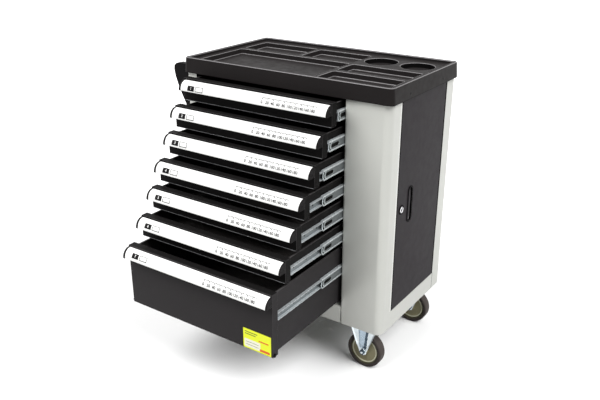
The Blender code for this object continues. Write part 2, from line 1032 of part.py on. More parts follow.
# Castors: fixed on the right, swivelling with a brake on the left; axles lie front to back, as the cart rolls sideways
castor_rows = {"front": castor_front, "rear": worktop_depth - castor_rear}
plate_high = castor_height - clearance
plate_low = plate_high - plate_thickness
leg_inside = wheel_width / 2 + leg_play
leg_outside = leg_inside + leg_thickness
fixed_x = worktop_width - castor_side
swivel_x = castor_side
trailing_x = swivel_x - trail


def wheel(place, x, y):
    """Moulded hub on a plain bore and the tread round it."""
    body = f"wheel_{place}"
    centre = (x, wheel_radius)
    bore = axle_radius + clearance
    half = hub_width / 2
    boss = leg_inside - clearance
    web = hub_web / 2
    inner_rim = hub_radius - hub_rim
    hub = [
        (bore, y - boss),
        (hub_boss_radius, y - boss),
        (hub_boss_radius, y - web),
        (inner_rim, y - web),
        (inner_rim, y - half),
        (hub_radius, y - half),
        (hub_radius, y + half),
        (inner_rim, y + half),
        (inner_rim, y + web),
        (hub_boss_radius, y + web),
        (hub_boss_radius, y + boss),
        (bore, y + boss),
    ]
    edge = wheel_width / 2
    seat = hub_radius + clearance
    tread = [
        (seat, y - edge + tyre_crown),
        (seat + tyre_crown, y - edge),
        (wheel_radius - 2 * tyre_crown, y - edge),
        (wheel_radius, y - edge + 2 * tyre_crown),
        (wheel_radius, y + edge - 2 * tyre_crown),
        (wheel_radius - 2 * tyre_crown, y + edge),
        (seat + tyre_crown, y + edge),
        (seat, y + edge - tyre_crown),
    ]
    piece(f"castor_{place}_hub", body, olive_plastic, [turned(hub, centre, "y", wheel_sides)])
    piece(f"castor_{place}_tyre", body, rubber, [turned(tread, centre, "y", wheel_sides)])


def axle_shapes(x, y):
    """Axle bolt through both legs, its head in front and its nut behind."""
    nut_end = leg_outside + nut_thickness
    return [
        cylinder((x, wheel_radius), axle_radius, "y", y - nut_end, y + nut_end, round_sides // 2),
        cylinder((x, wheel_radius), nut_radius, "y", y - nut_end, y - leg_inside - clearance, 6),
        cylinder((x, wheel_radius), nut_radius, "y", y + leg_inside + clearance, y + nut_end, 6),
    ]


def fixed_castor(place, y):
    """Pressed bracket: a top plate and two tapering legs, each stiffened by a wide rib."""
    x = fixed_x
    half_plate = plate_length / 2
    foot = arc((x, wheel_radius), leg_foot, 180, 360, 2 * corner_steps)
    leg = [(x + half_plate, plate_high), (x - half_plate, plate_high), *foot]
    rib = [
        (x - leg_rib_width / 2, plate_high - sheet),
        (x - leg_rib_foot / 2, wheel_radius + leg_foot),
        (x + leg_rib_foot / 2, wheel_radius + leg_foot),
        (x + leg_rib_width / 2, plate_high - sheet),
    ]
    shapes = [
        box(
            (x - half_plate, y - plate_depth / 2, plate_low),
            (x + half_plate, y + plate_depth / 2, plate_high),
        )
    ]
    for side in (-1, 1):
        shapes.append(prism(leg, "y", *sorted((y + side * leg_inside, y + side * leg_outside))))
        proud = leg_outside + leg_rib_proud
        shapes.append(prism(rib, "y", *sorted((y + side * (leg_inside + sheet), y + side * proud))))
    piece(f"castor_{place}_bracket", "root", zinc, shapes + axle_shapes(x, y))
    moving_body(f"wheel_{place}", (x, y, wheel_radius))
    wheel(place, x, y)


def swivel_castor(place, y):
    """Top plate with its ball race and kingpin, and the fork that swivels on it with a brake pedal."""
    race_low = plate_low - race_height
    crown_high = race_low - clearance
    crown_low = crown_high - crown_thickness
    pin_low = crown_low - clearance - kingpin_nut
    piece(
        f"castor_{place}_plate",
        "root",
        zinc,
        [
            box(
                (swivel_x - plate_length / 2, y - plate_depth / 2, plate_low),
                (swivel_x + plate_length / 2, y + plate_depth / 2, plate_high),
            ),
            cylinder((swivel_x, y), race_radius, "z", race_low, plate_low + sheet),
            cylinder((swivel_x, y), kingpin_radius, "z", pin_low, plate_low + sheet, round_sides // 2),
            cylinder((swivel_x, y), nut_radius, "z", pin_low, pin_low + kingpin_nut, 6),
        ],
    )
    fork = f"swivel_{place}"
    moving_body(fork, (swivel_x, y, crown_high))
    pin_x = trailing_x - pedal_pin_back
    foot = arc((trailing_x, wheel_radius), leg_foot, 180, 360, 2 * corner_steps)
    leg = [
        (swivel_x + crown_radius / 2, crown_high - sheet),
        (pin_x - 2 * pedal_pin_radius, crown_high - sheet),
        (pin_x - 3 * pedal_pin_radius, pedal_pin_level),
        *foot,
    ]
    crown = cylinder((swivel_x, y), crown_radius, "z", crown_low, crown_high)
    legs = [
        prism(leg, "y", *sorted((y + side * leg_inside, y + side * leg_outside))) for side in (-1, 1)
    ]
    kingpin_hole = kingpin_radius + clearance
    piece(
        f"castor_{place}_fork",
        fork,
        zinc,
        [crown] + legs + axle_shapes(trailing_x, y),
        [
            cylinder((swivel_x, y), kingpin_hole, "z", crown_low - overrun, crown_high + overrun),
            cylinder(
                (pin_x, pedal_pin_level),
                pedal_pin_radius + clearance,
                "y",
                y - leg_outside - overrun,
                y + leg_outside + overrun,
                round_sides // 2,
            ),
        ],
    )
    moving_body(f"wheel_{place}", (trailing_x, y, wheel_radius), fork)
    wheel(place, trailing_x, y)
    brake_pedal(place, pin_x, y, fork)


def brake_pedal(place, pin_x, y, fork):
    """Foot pedal on a pin through the fork: pressed down at rest, which holds the wheel."""
    body = f"brake_{place}"
    moving_body(body, (pin_x, y, pedal_pin_level), fork)
    half = leg_inside - clearance
    tip_x = pin_x - pedal_length
    tip_z = pedal_pin_level - pedal_fall
    lever = [
        (pin_x + 2 * pedal_pin_radius, pedal_pin_level - pedal_thickness / 2),
        (pin_x + 2 * pedal_pin_radius, pedal_pin_level + pedal_thickness / 2),
        (pin_x, pedal_pin_level + pedal_thickness),
        (tip_x, tip_z + pedal_thickness),
        (tip_x, tip_z),
        (pin_x, pedal_pin_level - pedal_thickness),
    ]
    tread = wheel_radius + brake_play
    shoe = arc((trailing_x, wheel_radius), tread, shoe_from_angle, shoe_to_angle, corner_steps)
    shoe += [
        (x, pedal_pin_level - (pin_x - x) * pedal_fall / pedal_length)
        for x in (shoe[-1][0], shoe[0][0])
    ]
    pad = [
        (tip_x + pedal_pad, tip_z),
        (tip_x + pedal_pad, tip_z + 2 * pedal_thickness),
        (tip_x - pedal_thickness, tip_z + pedal_thickness),
        (tip_x - pedal_thickness, tip_z),
    ]
    piece(
        f"castor_{place}_brake_pedal",
        body,
        black_plastic,
        [
            prism(lever, "y", y - half, y + half),
            prism(shoe, "y", y - half + leg_play, y + half - leg_play),
            prism(pad, "y", y - half - leg_thickness, y + half + leg_thickness),
            cylinder(
                (pin_x, pedal_pin_level),
                pedal_pin_radius,
                "y",
                y - leg_outside,
                y + leg_outside,
                round_sides // 2,
            ),
        ],
    )


for row, row_y in castor_rows.items():
    fixed_castor(f"{row}_right", row_y)
    swivel_castor(f"{row}_left", row_y)
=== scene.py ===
"""Looks of the rolling tool cart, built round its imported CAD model.

Lengths are millimetres until a mesh is put down in the frame. In the sections, x runs from the left edge of
the worktop's rim, y from its front edge and z from the floor.
"""

import json
import math

import bmesh
import bpy
from mathutils import Matrix, Vector

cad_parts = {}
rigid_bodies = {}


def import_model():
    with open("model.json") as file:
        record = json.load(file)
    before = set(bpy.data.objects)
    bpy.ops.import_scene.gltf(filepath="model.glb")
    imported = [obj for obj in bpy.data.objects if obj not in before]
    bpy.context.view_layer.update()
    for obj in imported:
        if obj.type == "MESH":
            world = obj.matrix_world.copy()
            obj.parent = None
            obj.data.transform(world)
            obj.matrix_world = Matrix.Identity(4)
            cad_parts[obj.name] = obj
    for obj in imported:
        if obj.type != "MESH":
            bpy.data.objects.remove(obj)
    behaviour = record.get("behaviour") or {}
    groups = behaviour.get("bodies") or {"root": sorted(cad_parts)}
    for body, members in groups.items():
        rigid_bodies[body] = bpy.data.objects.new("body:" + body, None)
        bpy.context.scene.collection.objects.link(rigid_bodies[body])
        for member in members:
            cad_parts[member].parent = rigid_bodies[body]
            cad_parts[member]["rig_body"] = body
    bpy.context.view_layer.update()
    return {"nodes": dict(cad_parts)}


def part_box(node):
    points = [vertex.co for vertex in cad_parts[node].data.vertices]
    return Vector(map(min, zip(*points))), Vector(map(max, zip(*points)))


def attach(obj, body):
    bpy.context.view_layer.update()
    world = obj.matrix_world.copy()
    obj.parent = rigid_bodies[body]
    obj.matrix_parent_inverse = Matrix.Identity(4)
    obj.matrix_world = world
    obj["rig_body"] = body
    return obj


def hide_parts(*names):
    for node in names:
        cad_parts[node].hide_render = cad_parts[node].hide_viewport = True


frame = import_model()
mm = 0.001
scene = bpy.context.scene

# The photographer's place: the camera stands in front of the cart and to its right, a little above the
# worktop, and looks down at the drawers. Its place and angles were fitted to the edges of the cabinet.

apron_flare = 4
apron_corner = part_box("worktop")[0]
origin = Vector((apron_corner.x + apron_flare * mm, apron_corner.y + apron_flare * mm, 0))
frame_pixels = 600
focal_pixels = 720.33
sensor_width = 36
camera_spot = (1659.6, -1747.1, 1448.2)
camera_yaw, camera_pitch, camera_roll = 34.359, 22.598, 0.11
far_limit = 50


def place(x, y, z):
    """A spot in the sections' millimetres, as a place in the frame."""
    return origin + Vector((x, y, z)) * mm


camera_data = bpy.data.cameras.new("camera")
camera_data.sensor_width = sensor_width
camera_data.lens = focal_pixels / frame_pixels * sensor_width
camera_data.clip_end = far_limit
camera = bpy.data.objects.new("camera", camera_data)
aim = (
    Matrix.Rotation(math.radians(camera_yaw), 4, "Z")
    @ Matrix.Rotation(math.radians(90 - camera_pitch), 4, "X")
    @ Matrix.Rotation(math.radians(camera_roll), 4, "Z")
)
camera.location = place(*camera_spot)
camera.rotation_euler = aim.to_euler()
scene.collection.objects.link(camera)
scene.camera = camera
scene.view_settings.view_transform = "Standard"

# The studio: a wide pale floor, a sky that is bright overhead and fades to the horizon, and two broad soft
# lamps of much the same strength, one in front on the left and one on the right. The camera, and what shines,
# see the floor and the sky as white.

white = (1, 1, 1, 1)
sky_strength, sky_low, sky_high = 0.5, 0.2, 0.8
lamps = {"front_left": ((-0.35, -0.6, 0.8), 2.9, 40), "right": ((0.75, -0.1, 0.85), 3.0, 40)}
floor_grey = (0.25, 0.25, 0.25, 1)
floor_roughness, floor_reach = 0.9, 30


def tone(*chip):
    """A colour chip of three parts from 0 to 255 as the linear colour that a shader takes."""
    return (*(((part / 255 + 0.055) / 1.055) ** 2.4 if part > 10 else part / 255 / 12.92 for part in chip), 1)


def add(tree, kind, *feeds, settings=None, **inputs):
    """Adds a node. Feeds fill its inputs in order and the others by name, each with a value or a socket."""
    made = tree.nodes.new(kind)
    for name, value in (settings or {}).items():
        setattr(made, name, value)
    named = [(made.inputs[name.replace("_", " ")], value) for name, value in inputs.items()]
    for socket, value in [*zip(made.inputs, feeds), *named]:
        if isinstance(value, bpy.types.NodeSocket):
            tree.links.new(value, socket)
        else:
            socket.default_value = value
    return made


def output(tree, kind, *feeds, **named):
    """Adds a node and gives its first output."""
    return add(tree, kind, *feeds, **named).outputs[0]


def maths(tree, operation, *feeds):
    return output(tree, "ShaderNodeMath", *feeds, settings={"operation": operation})


def xyz(tree, *parts):
    return output(tree, "ShaderNodeCombineXYZ", *parts)


def mixed(tree, share, one, other):
    """A colour between two: the first where the share is 0 and the other where it is 1."""
    mix = add(tree, "ShaderNodeMix", settings={"data_type": "RGBA"}, Factor=share, A=one, B=other)
    return mix.outputs["Result"]


def seen_ray(tree):
    """1 where the camera sees the surface directly, in a gloss or through glass, and else 0."""
    rays = add(tree, "ShaderNodeLightPath").outputs
    seen = maths(tree, "MAXIMUM", rays["Is Camera Ray"], rays["Is Glossy Ray"])
    return maths(tree, "MAXIMUM", seen, rays["Is Transmission Ray"])


def bare_paint(name, gloss, metal=0):
    """A material with its specular level and its share of metal, its node tree and its shader."""
    paint = bpy.data.materials.new(name)
    paint.use_nodes = True
    shader = paint.node_tree.nodes["Principled BSDF"]
    shader.inputs["Specular IOR Level"].default_value = gloss
    shader.inputs["Metallic"].default_value = metal
    return paint, paint.node_tree, shader


def as_piece(name, shape, materials=()):
    """Turns a shape into a smooth object in the scene, with one material or several."""
    mesh = bpy.data.meshes.new(name)
    shape.to_mesh(mesh)
    shape.free()
    mesh.shade_smooth()
    for each in materials if isinstance(materials, (list, tuple)) else [materials]:
        mesh.materials.append(each)
    piece = bpy.data.objects.new(name, mesh)
    scene.collection.objects.link(piece)
    return piece


world = bpy.data.worlds.new("studio")
scene.world = world
world.use_nodes = True
sky = world.node_tree
heading = add(sky, "ShaderNodeTexCoord").outputs["Generated"]
rise = add(sky, "ShaderNodeSeparateXYZ", heading).outputs["Z"]
smooth_step = {"interpolation_type": "SMOOTHSTEP"}
climb = {"From_Min": sky_low, "From_Max": sky_high, "To_Max": sky_strength}
glow = output(sky, "ShaderNodeMapRange", rise, settings=smooth_step, **climb)
shine = output(sky, "ShaderNodeMapRange", seen_ray(sky), To_Min=glow, To_Max=1.0)
backdrop = sky.nodes["Background"]
sky.links.new(shine, backdrop.inputs["Strength"])
backdrop.inputs["Color"].default_value = white

floor_paint, ground, floor_shader = bare_paint("studio_floor", 0)
floor_shader.inputs["Roughness"].default_value = floor_roughness
floor_colour = mixed(ground, seen_ray(ground), floor_grey, white)
ground.links.new(floor_colour, floor_shader.inputs["Base Color"])
floor_shape = bmesh.new()
bmesh.ops.create_grid(floor_shape, x_segments=1, y_segments=1, size=floor_reach)
studio_floor = as_piece("studio_floor", floor_shape, floor_paint)

for name, (side, strength, spread) in lamps.items():
    lamp = bpy.data.lights.new(name, "SUN")
    lamp.energy = strength
    lamp.angle = math.radians(spread)
    stand = bpy.data.objects.new(name, lamp)
    stand.rotation_euler = Vector(side).to_track_quat("Z", "Y").to_euler()
    scene.collection.objects.link(stand)

# Worktop: one moulded tray of black grained plastic. It has a raised rim and an apron that flares out over
# the cabinet, five trays with slightly leaning walls, and two round holders for spray cans. Black pan-head
# screws hold the apron to the top frame.

worktop_size = (774, 452)
worktop_top, apron_foot = 970, 920
deck_level, tray_floor = 960, 943
deck_under, tray_under = 957, 940.5
apron_wall, worktop_corner = 3, 14
trays = (
    ((34, 34), (480, 262)),
    ((34, 284), (262, 408)),
    ((276, 284), (480, 408)),
    ((494, 47), (740, 143)),
    ((494, 165), (740, 261)),
)
can_places = ((550, 348), (681, 348))
can_radius, tray_corner = 55, 9
rim_round, rim_crest, lip_round, rim_valley = 2.4, 2.2, 1.8, 2
foot_round, foot_offset = 1.2, 0.1
crest_inset, deck_inset, tray_lean = 9.6, 14, 3.7
tray_unders = [(2.5, deck_under), (0.5, tray_under)]
sharp_angle, ease_angle = 35, 35
weld = 0.001
screw_drop, screw_sizes = 35, {"Radius": 4.2, "Top Radius": 2.6, "Height": 1.1}
side_screw_y, rear_screw_x = 111, 687


def arc(centre, radius, start, end, steps):
    """Points on a circle in a plane, from the start to the end angle in degrees."""
    angles = [math.radians(start + (end - start) * i / steps) for i in range(steps + 1)]
    return [(centre[0] + radius * math.cos(a), centre[1] + radius * math.sin(a)) for a in angles]


def circle(centre, radius, sides):
    return arc(centre, radius, 0, 360, sides)[:-1]


def rounded(low, high, radius, steps=8):
    """Outline of a rectangle with round corners, anticlockwise."""
    (x0, y0), (x1, y1) = low, high
    corners = (
        (x1 - radius, y0 + radius),
        (x1 - radius, y1 - radius),
        (x0 + radius, y1 - radius),
        (x0 + radius, y0 + radius),
    )
    return [
        point
        for quarter, corner in enumerate(corners)
        for point in arc(corner, radius, 90 * (quarter - 1), 90 * quarter, steps)
    ]


def put_ring(shape, outline, level, axis="z"):
    """Puts down an outline, drawn in the two other axes, at a level along an axis."""
    at = "xyz".index(axis)
    return [shape.verts.new((*point[:at], level, *point[at:])) for point in outline]


def bridge(shape, rings, finishes={}):
    """Walls between rings of the same number of points, with the material index of those that differ."""
    for level, (one, other) in enumerate(zip(rings, rings[1:])):
        for i in range(len(one)):
            j = (i + 1) % len(one)
            wall = shape.faces.new((one[i], one[j], other[j], other[i]))
            wall.material_index = finishes.get(level, 0)


def flat_between(shape, rings):
    """A flat face inside the first ring, with the other rings as holes in it."""
    edges = []
    for ring in rings:
        for i, vert in enumerate(ring):
            pair = (vert, ring[(i + 1) % len(ring)])
            edges.append(shape.edges.get(pair) or shape.edges.new(pair))
    bmesh.ops.triangle_fill(shape, use_beauty=True, edges=edges, normal=(0, 0, 1))


def flatten(piece):
    """Turns a piece and its modifiers into a plain mesh."""
    graph = bpy.context.evaluated_depsgraph_get()
    mesh = bpy.data.meshes.new_from_object(piece.evaluated_get(graph))
    mesh.name = piece.name
    piece.modifiers.clear()
    piece.data = mesh


def carry(piece, body, slot, stands_for=None):
    """Lets a piece ride on a body and hides the CAD node that it stands for. The finish's slot is not used.
    """
    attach(piece, body)
    if stands_for:
        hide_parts(stands_for)


def ease_edges(piece, edge, segments, edge_highlight=None):
    """Rounds a piece's sharp edges by a radius in millimetres, with the round in a painted highlight colour
    where one is given, and evens out its shading."""
    if edge:
        soften = piece.modifiers.new("ease", "BEVEL")
        soften.width = edge * mm
        soften.segments = segments
        soften.limit_method = "ANGLE"
        soften.angle_limit = math.radians(ease_angle)
        soften.miter_outer = "MITER_ARC"
        if edge_highlight:
            piece.data.materials.append(edge_highlight)
            soften.material = len(piece.data.materials) - 1
    piece.modifiers.new("weigh", "WEIGHTED_NORMAL").keep_sharp = True
    flatten(piece)


def into_frame(shape):
    """Turns a shape's faces outwards and takes it from the sections' millimetres to its place."""
    bmesh.ops.recalc_face_normals(shape, faces=shape.faces)
    bmesh.ops.scale(shape, vec=(mm, mm, mm), verts=shape.verts)
    bmesh.ops.translate(shape, vec=origin, verts=shape.verts)


def settle(name, shape, materials, body, slot, stands_for=None, edge=0, segments=2, sharp=sharp_angle):
    """Puts a shape in millimetres down as a finished piece that rides on a body."""
    bmesh.ops.remove_doubles(shape, verts=shape.verts, dist=weld)
    into_frame(shape)
    piece = as_piece(name, shape, materials)
    piece.data.set_sharp_from_angle(angle=math.radians(sharp))
    ease_edges(piece, edge, segments)
    carry(piece, body, slot, stands_for)


def finish(name, light, dark, roughness, gloss=0.5, metal=0, grain=300, depth=0.01, cloud=9, swing=0.06):
    """A finish in two close shades, with a roughness that wanders and a fine grain that stands up as bump.

    grain and cloud are cycles per metre, depth is the grain's height in millimetres."""
    material, tree, shader = bare_paint(name, gloss, metal)
    where = add(tree, "ShaderNodeTexCoord").outputs["Object"]
    clouds, patches, grains = (
        output(tree, "ShaderNodeTexNoise", Vector=where, Scale=float(scale), Detail=detail)
        for scale, detail in ((cloud, 3.0), (cloud * 5, 3.0), (grain, 2.0))
    )
    reach = {"To_Min": roughness - swing, "To_Max": roughness + swing}
    wander = output(tree, "ShaderNodeMapRange", patches, From_Min=0.3, From_Max=0.7, **reach)
    bump = output(tree, "ShaderNodeBump", Strength=1.0, Distance=depth * mm, Height=grains)
    tree.links.new(mixed(tree, clouds, tone(*dark), tone(*light)), shader.inputs["Base Color"])
    tree.links.new(wander, shader.inputs["Roughness"])
    tree.links.new(bump, shader.inputs["Normal"])
    return material


moulded_black = finish("moulded_black", (35, 32, 32), (30, 28, 28), 0.46, gloss=0.05, grain=400, depth=0.02)
shadow_black = finish("shadow_black", (12, 11, 11), (9, 8, 8), 0.6, gloss=0.02)
# A light grey for the worktop's rounded edges: a painted highlight.
moulded_edge_highlight = finish("moulded_edge_highlight", (116, 113, 114), (98, 96, 97), 0.3)


def hollow_outline(hollow, wider):
    """Outline of a tray or a can holder, wider all round by some millimetres."""
    if hollow in can_places:
        return circle(hollow, can_radius + wider, 64)
    (x0, y0), (x1, y1) = hollow
    return rounded((x0 - wider, y0 - wider), (x1 + wider, y1 + wider), tray_corner + wider)


def make_worktop():
    """The rim and apron as rings round the outside, then the hollows, then the deck's two faces."""
    shape = bmesh.new()
    wide, deep = worktop_size
    foot = apron_foot + foot_round
    section = [(apron_wall, deck_under), (apron_wall - apron_flare, apron_foot + 1)]
    section += arc((foot_offset - apron_flare + foot_round, foot), foot_round, 0, -180, 4)
    section += arc((rim_round, worktop_top - rim_round), rim_round, 180, 90, 5)
    section += arc((crest_inset, worktop_top - rim_crest), rim_crest, 90, 10, 5)
    section += arc((deck_inset, deck_level + rim_valley), rim_valley, 190, 270, 4)
    rings = []
    for inset, level in section:
        radius = max(worktop_corner - inset, worktop_corner / 4)
        outline = rounded((inset, inset), (wide - inset, deep - inset), radius)
        rings.append(put_ring(shape, outline, level))
    # The apron's foot is in shadow black, painted shade under its edge. The rounds of the rim's outer edge
    # and of its crest are in the light grey, painted highlights.
    foot_walls, highlight_walls = range(1, 6), (8, 9, 10, 11, 14, 15, 16, 17)
    bridge(shape, rings, dict.fromkeys(foot_walls, 2) | dict.fromkeys(highlight_walls, 1))
    inside = arc((lip_round, deck_level - lip_round), lip_round, 90, 180, 4)
    inside += arc((-tray_lean, tray_floor + lip_round), lip_round, 6, -90, 4)
    tops, unders = [rings[-1]], [rings[0]]
    # Each tray's lip and the foot of its walls are in the light grey, painted highlights. The can holders'
    # lips are in it too, and their walls are in shadow black, painted shade inside them.
    tray_walls, can_walls = dict.fromkeys((0, 1, 2, 5, 6, 7, 8), 1), dict.fromkeys((0, 1, 2), 1) | {4: 2}
    for hollow in (*trays, *can_places):
        inner_walls = can_walls if hollow in can_places else tray_walls
        for steps, finishes, level_sets in ((inside, inner_walls, tops), (tray_unders, {}, unders)):
            walls = [put_ring(shape, hollow_outline(hollow, wider), level) for wider, level in steps]
            bridge(shape, walls, finishes)
            shape.faces.new(walls[-1])
            level_sets.append(walls[0])
    flat_between(shape, tops)
    flat_between(shape, unders)
    finishes = [moulded_black, moulded_edge_highlight, shadow_black]
    settle("worktop_tray", shape, finishes, "root", "black_plastic", "worktop")


make_worktop()


def start_tree(name, **sizes):
    """A geometry tree with a named input for each size, and the sockets that give those sizes."""
    tree = bpy.data.node_groups.new(name, "GeometryNodeTree")
    tree.interface.new_socket("Geometry", in_out="OUTPUT", socket_type="NodeSocketGeometry")
    for label, value in sizes.items():
        kind = "NodeSocketInt" if isinstance(value, int) else "NodeSocketFloat"
        socket = tree.interface.new_socket(label.replace("_", " "), in_out="INPUT", socket_type=kind)
        socket.default_value = value
    return tree, tree.nodes.new("NodeGroupInput").outputs


def end_tree(tree, geometry, material):
    solid = output(tree, "GeometryNodeRealizeInstances", geometry)
    painted = output(tree, "GeometryNodeSetMaterial", solid, Material=material)
    tree.links.new(painted, tree.nodes.new("NodeGroupOutput").inputs[0])
    return tree


def grow(name, tree, sizes, where, body, slot, stands_for=None, sharp=sharp_angle):
    """Makes a tree's geometry as a plain mesh and takes it from its own place to where it belongs."""
    piece = as_piece(name, bmesh.new())
    maker = piece.modifiers.new(tree.name, "NODES")
    maker.node_group = tree
    for item in tree.interface.items_tree:
        if item.in_out == "INPUT" and item.name in sizes:
            maker[item.identifier] = sizes[item.name]
    flatten(piece)
    piece.data.transform(Matrix.Translation(origin) @ Matrix.Scale(mm, 4) @ where)
    piece.data.shade_smooth()
    piece.data.set_sharp_from_angle(angle=math.radians(sharp))
    carry(piece, body, slot, stands_for)


def facing(spot, along, outward):
    """Where a row starts: its own x runs along a direction and its own z outwards."""
    along, outward = Vector(along), Vector(outward)
    across = outward.cross(along)
    turned = Matrix((along, across, outward)).transposed().to_4x4()
    return Matrix.Translation(Vector(spot)) @ turned


def head_row(name, material):
    """A tree for a row of chamfered heads, standing on z = 0 and spaced along x."""
    tree, size = start_tree(name, Count=2, Pitch=100.0, Radius=4.0, Top_Radius=3.0, Height=1.5, Sides=16)
    step = xyz(tree, size["Pitch"])
    row = output(tree, "GeometryNodeMeshLine", Count=size["Count"], Offset=step)
    radii = {"Radius_Top": size["Top Radius"], "Radius_Bottom": size["Radius"]}
    head = output(tree, "GeometryNodeMeshCone", Vertices=size["Sides"], Depth=size["Height"], **radii)
    return end_tree(tree, output(tree, "GeometryNodeInstanceOnPoints", row, Instance=head), material)


screw_black = finish("screw_black", (14, 13, 14), (10, 10, 10), 0.4, gloss=0.1)
black_heads = head_row("black_heads", screw_black)
apron_out = apron_flare * screw_drop / (worktop_top - apron_foot)
screw_level = worktop_top - screw_drop
side_screws = {"Count": 2, "Pitch": 224.0, **screw_sizes}
for side, x, outward in (("right", worktop_size[0] + apron_out, 1), ("left", -apron_out, -1)):
    start = facing((x, side_screw_y, screw_level), (0, 1, 0), (outward, 0, 0))
    grow(f"apron_screws_{side}", black_heads, side_screws, start, "root", "black_plastic")
rear_screws = {"Count": 3, "Pitch": 300.0, **screw_sizes}
rear_row = facing((rear_screw_x, worktop_size[1] + apron_out, screw_level), (-1, 0, 0), (0, 1, 0))
grow("apron_screws_rear", black_heads, rear_screws, rear_row, "root", "black_plastic")

# Sheet-steel cabinet: folded posts, rear shell and base in silver paint, side panel and inner walls in dark
# paint. Each is its CAD solid with the folded edges eased, so that they catch the light as bent sheet does.
# The fixed slide members on the inner walls are zinc-plated.

post_round, post_sheet = 8, 1.2
opening_depth, gap_shade_reach = 16, 6
wall_step = 2
cad_weld, cad_flat_angle = 0.005, 0.6
line_reach, line_steps = 0.2, 4
silver = finish("silver_paint", (204, 205, 199), (199, 200, 194), 0.36, metal=0.1)
dark_grey = finish("dark_grey_paint", (41, 37, 40), (37, 34, 37), 0.42, gloss=0.04, swing=0.04)
drawer_grey = finish("drawer_grey_paint", (50, 48, 49), (46, 44, 45), 0.42, gloss=0.04, swing=0.04)
# A black paint that also serves as painted shade: the shallow drawers take it where the deep drawer takes the
# grey.
black_paint_and_shade = finish("black_and_shade_paint", (24, 23, 23), (20, 19, 19), 0.42, gloss=0.03, swing=0.04)
inner_black = finish("inner_black_paint", (20, 19, 19), (16, 15, 15), 0.45, gloss=0.06)
# A light grey for the eased edges of dark sheet: a painted highlight along them.
painted_edge_highlight = finish("painted_edge_highlight", (70, 68, 69), (58, 56, 57), 0.3, gloss=0.3)


def plating(name, light, dark, roughness, metal, cloud):
    """Zinc plate, which is smoother than paint: its grain is coarser and hardly stands up."""
    return finish(name, light, dark, roughness, metal=metal, grain=250, depth=0.004, cloud=cloud)


zinc = plating("zinc_plate", (214, 220, 222), (200, 206, 209), 0.26, 0.5, 9)
# A darker copy of the zinc for slide webs: painted shade between their flanges.
zinc_web_shade = plating("zinc_web_shade", (130, 135, 137), (108, 113, 116), 0.34, 0.6, 9)


def measured(point):
    """A place in the frame, in the sections' millimetres."""
    return (point - origin) / mm


def extent(node):
    """A node's lowest and highest corners, in the sections' millimetres."""
    return [measured(corner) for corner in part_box(node)]


def middle(node):
    low, high = extent(node)
    return (low + high) / 2


def body_of(node):
    return frame["nodes"][node]["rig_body"]


def eased(node, edge, materials, slot, pick=None, segments=2, edge_highlight=None, lines=()):
    """A copy of a CAD node with clean flat faces and its edges eased, which stands for the node.

    pick gives a face's material from its middle and normal, the material for the eased edges is a painted
    highlight on them, and lines are upright edges with a wider round, each given as (x, y, radius)."""
    shape = bmesh.new()
    shape.from_mesh(frame["nodes"][node].data)
    bmesh.ops.remove_doubles(shape, verts=shape.verts, dist=cad_weld * mm)
    flat = math.radians(cad_flat_angle)
    bmesh.ops.dissolve_limit(shape, angle_limit=flat, verts=shape.verts, edges=shape.edges)
    if pick:
        for face in shape.faces:
            face.material_index = pick(measured(face.calc_center_median()), face.normal)
    for x, y, radius in lines:
        foot = place(x, y, 0)
        near = {vert for vert in shape.verts if (vert.co - foot).xy.length < line_reach * mm}
        upright = [line for line in shape.edges if near.issuperset(line.verts)]
        wide = {"offset": radius * mm, "segments": line_steps, "profile": 0.5, "material": 0}
        bmesh.ops.bevel(shape, geom=upright, affect="EDGES", **wide)
    piece = as_piece(node + "_finished", shape, materials)
    ease_edges(piece, edge, segments, edge_highlight)
    if edge_highlight and pick:
        edge_highlight_index = len(piece.data.materials) - 1
        for face in piece.data.polygons:
            if face.material_index == edge_highlight_index and pick(measured(face.center), face.normal) == 1:
                face.material_index = 1
    carry(piece, body_of(node), slot, node)


post_low, post_high = extent("right_front_post")
door_low, door_high = extent("side_door_panel")
side_face = post_high.x


def door_seal(spot, normal):
    """The faces that the door shuts against near its edges, painted black as shade in the gap round the door.
    """
    faces_door = spot.x > side_face - opening_depth and abs(normal.y) > 0.9
    return int(faces_door and min(abs(spot.y - door_low.y), abs(spot.y - door_high.y)) < gap_shade_reach)


for node in ("left_front_post", "base_pan"):
    eased(node, 0.6, silver, "silver_paint")
post_lines = [
    (post_low.x + inset, post_low.y + inset, post_round - inset) for inset in (0, post_sheet)
]
# The faces round the door's opening are in inner black, painted shade in the gap.
gap_shade_finish, wall_finish = [silver, inner_black], [inner_black, zinc]
eased("right_front_post", 0.6, gap_shade_finish, "silver_paint", door_seal, lines=post_lines)
eased("rear_shell", 0.6, gap_shade_finish, "silver_paint", door_seal)
# The side panel's eased edges are in the light grey, a painted highlight.
eased("left_side_panel", 0.5, dark_grey, "dark_paint", edge_highlight=painted_edge_highlight)
eased("top_frame", 0.4, inner_black, "black_paint")
left_wall = extent("left_runner_wall")[0].x + wall_step
right_wall = extent("divider_wall")[1].x - wall_step
eased("left_runner_wall", 0.3, wall_finish, "black_paint", lambda spot, _: int(spot.x > left_wall))
eased("divider_wall", 0.3, wall_finish, "black_paint", lambda spot, _: int(spot.x < right_wall))

# Drawers: folded black sheet with a double front. The sides carry the zinc inner slide members, each a
# channel whose web is riveted to the drawer; the web is in a darker zinc as painted shade, and dark discs
# along it are painted shade of its rivet holes. The shallow drawers take a black paint as painted shade under
# their pulls. A light strip along the lower edge of each shallow front is a painted highlight on its fold,
# and a ribbed rubber mat lies in each drawer.

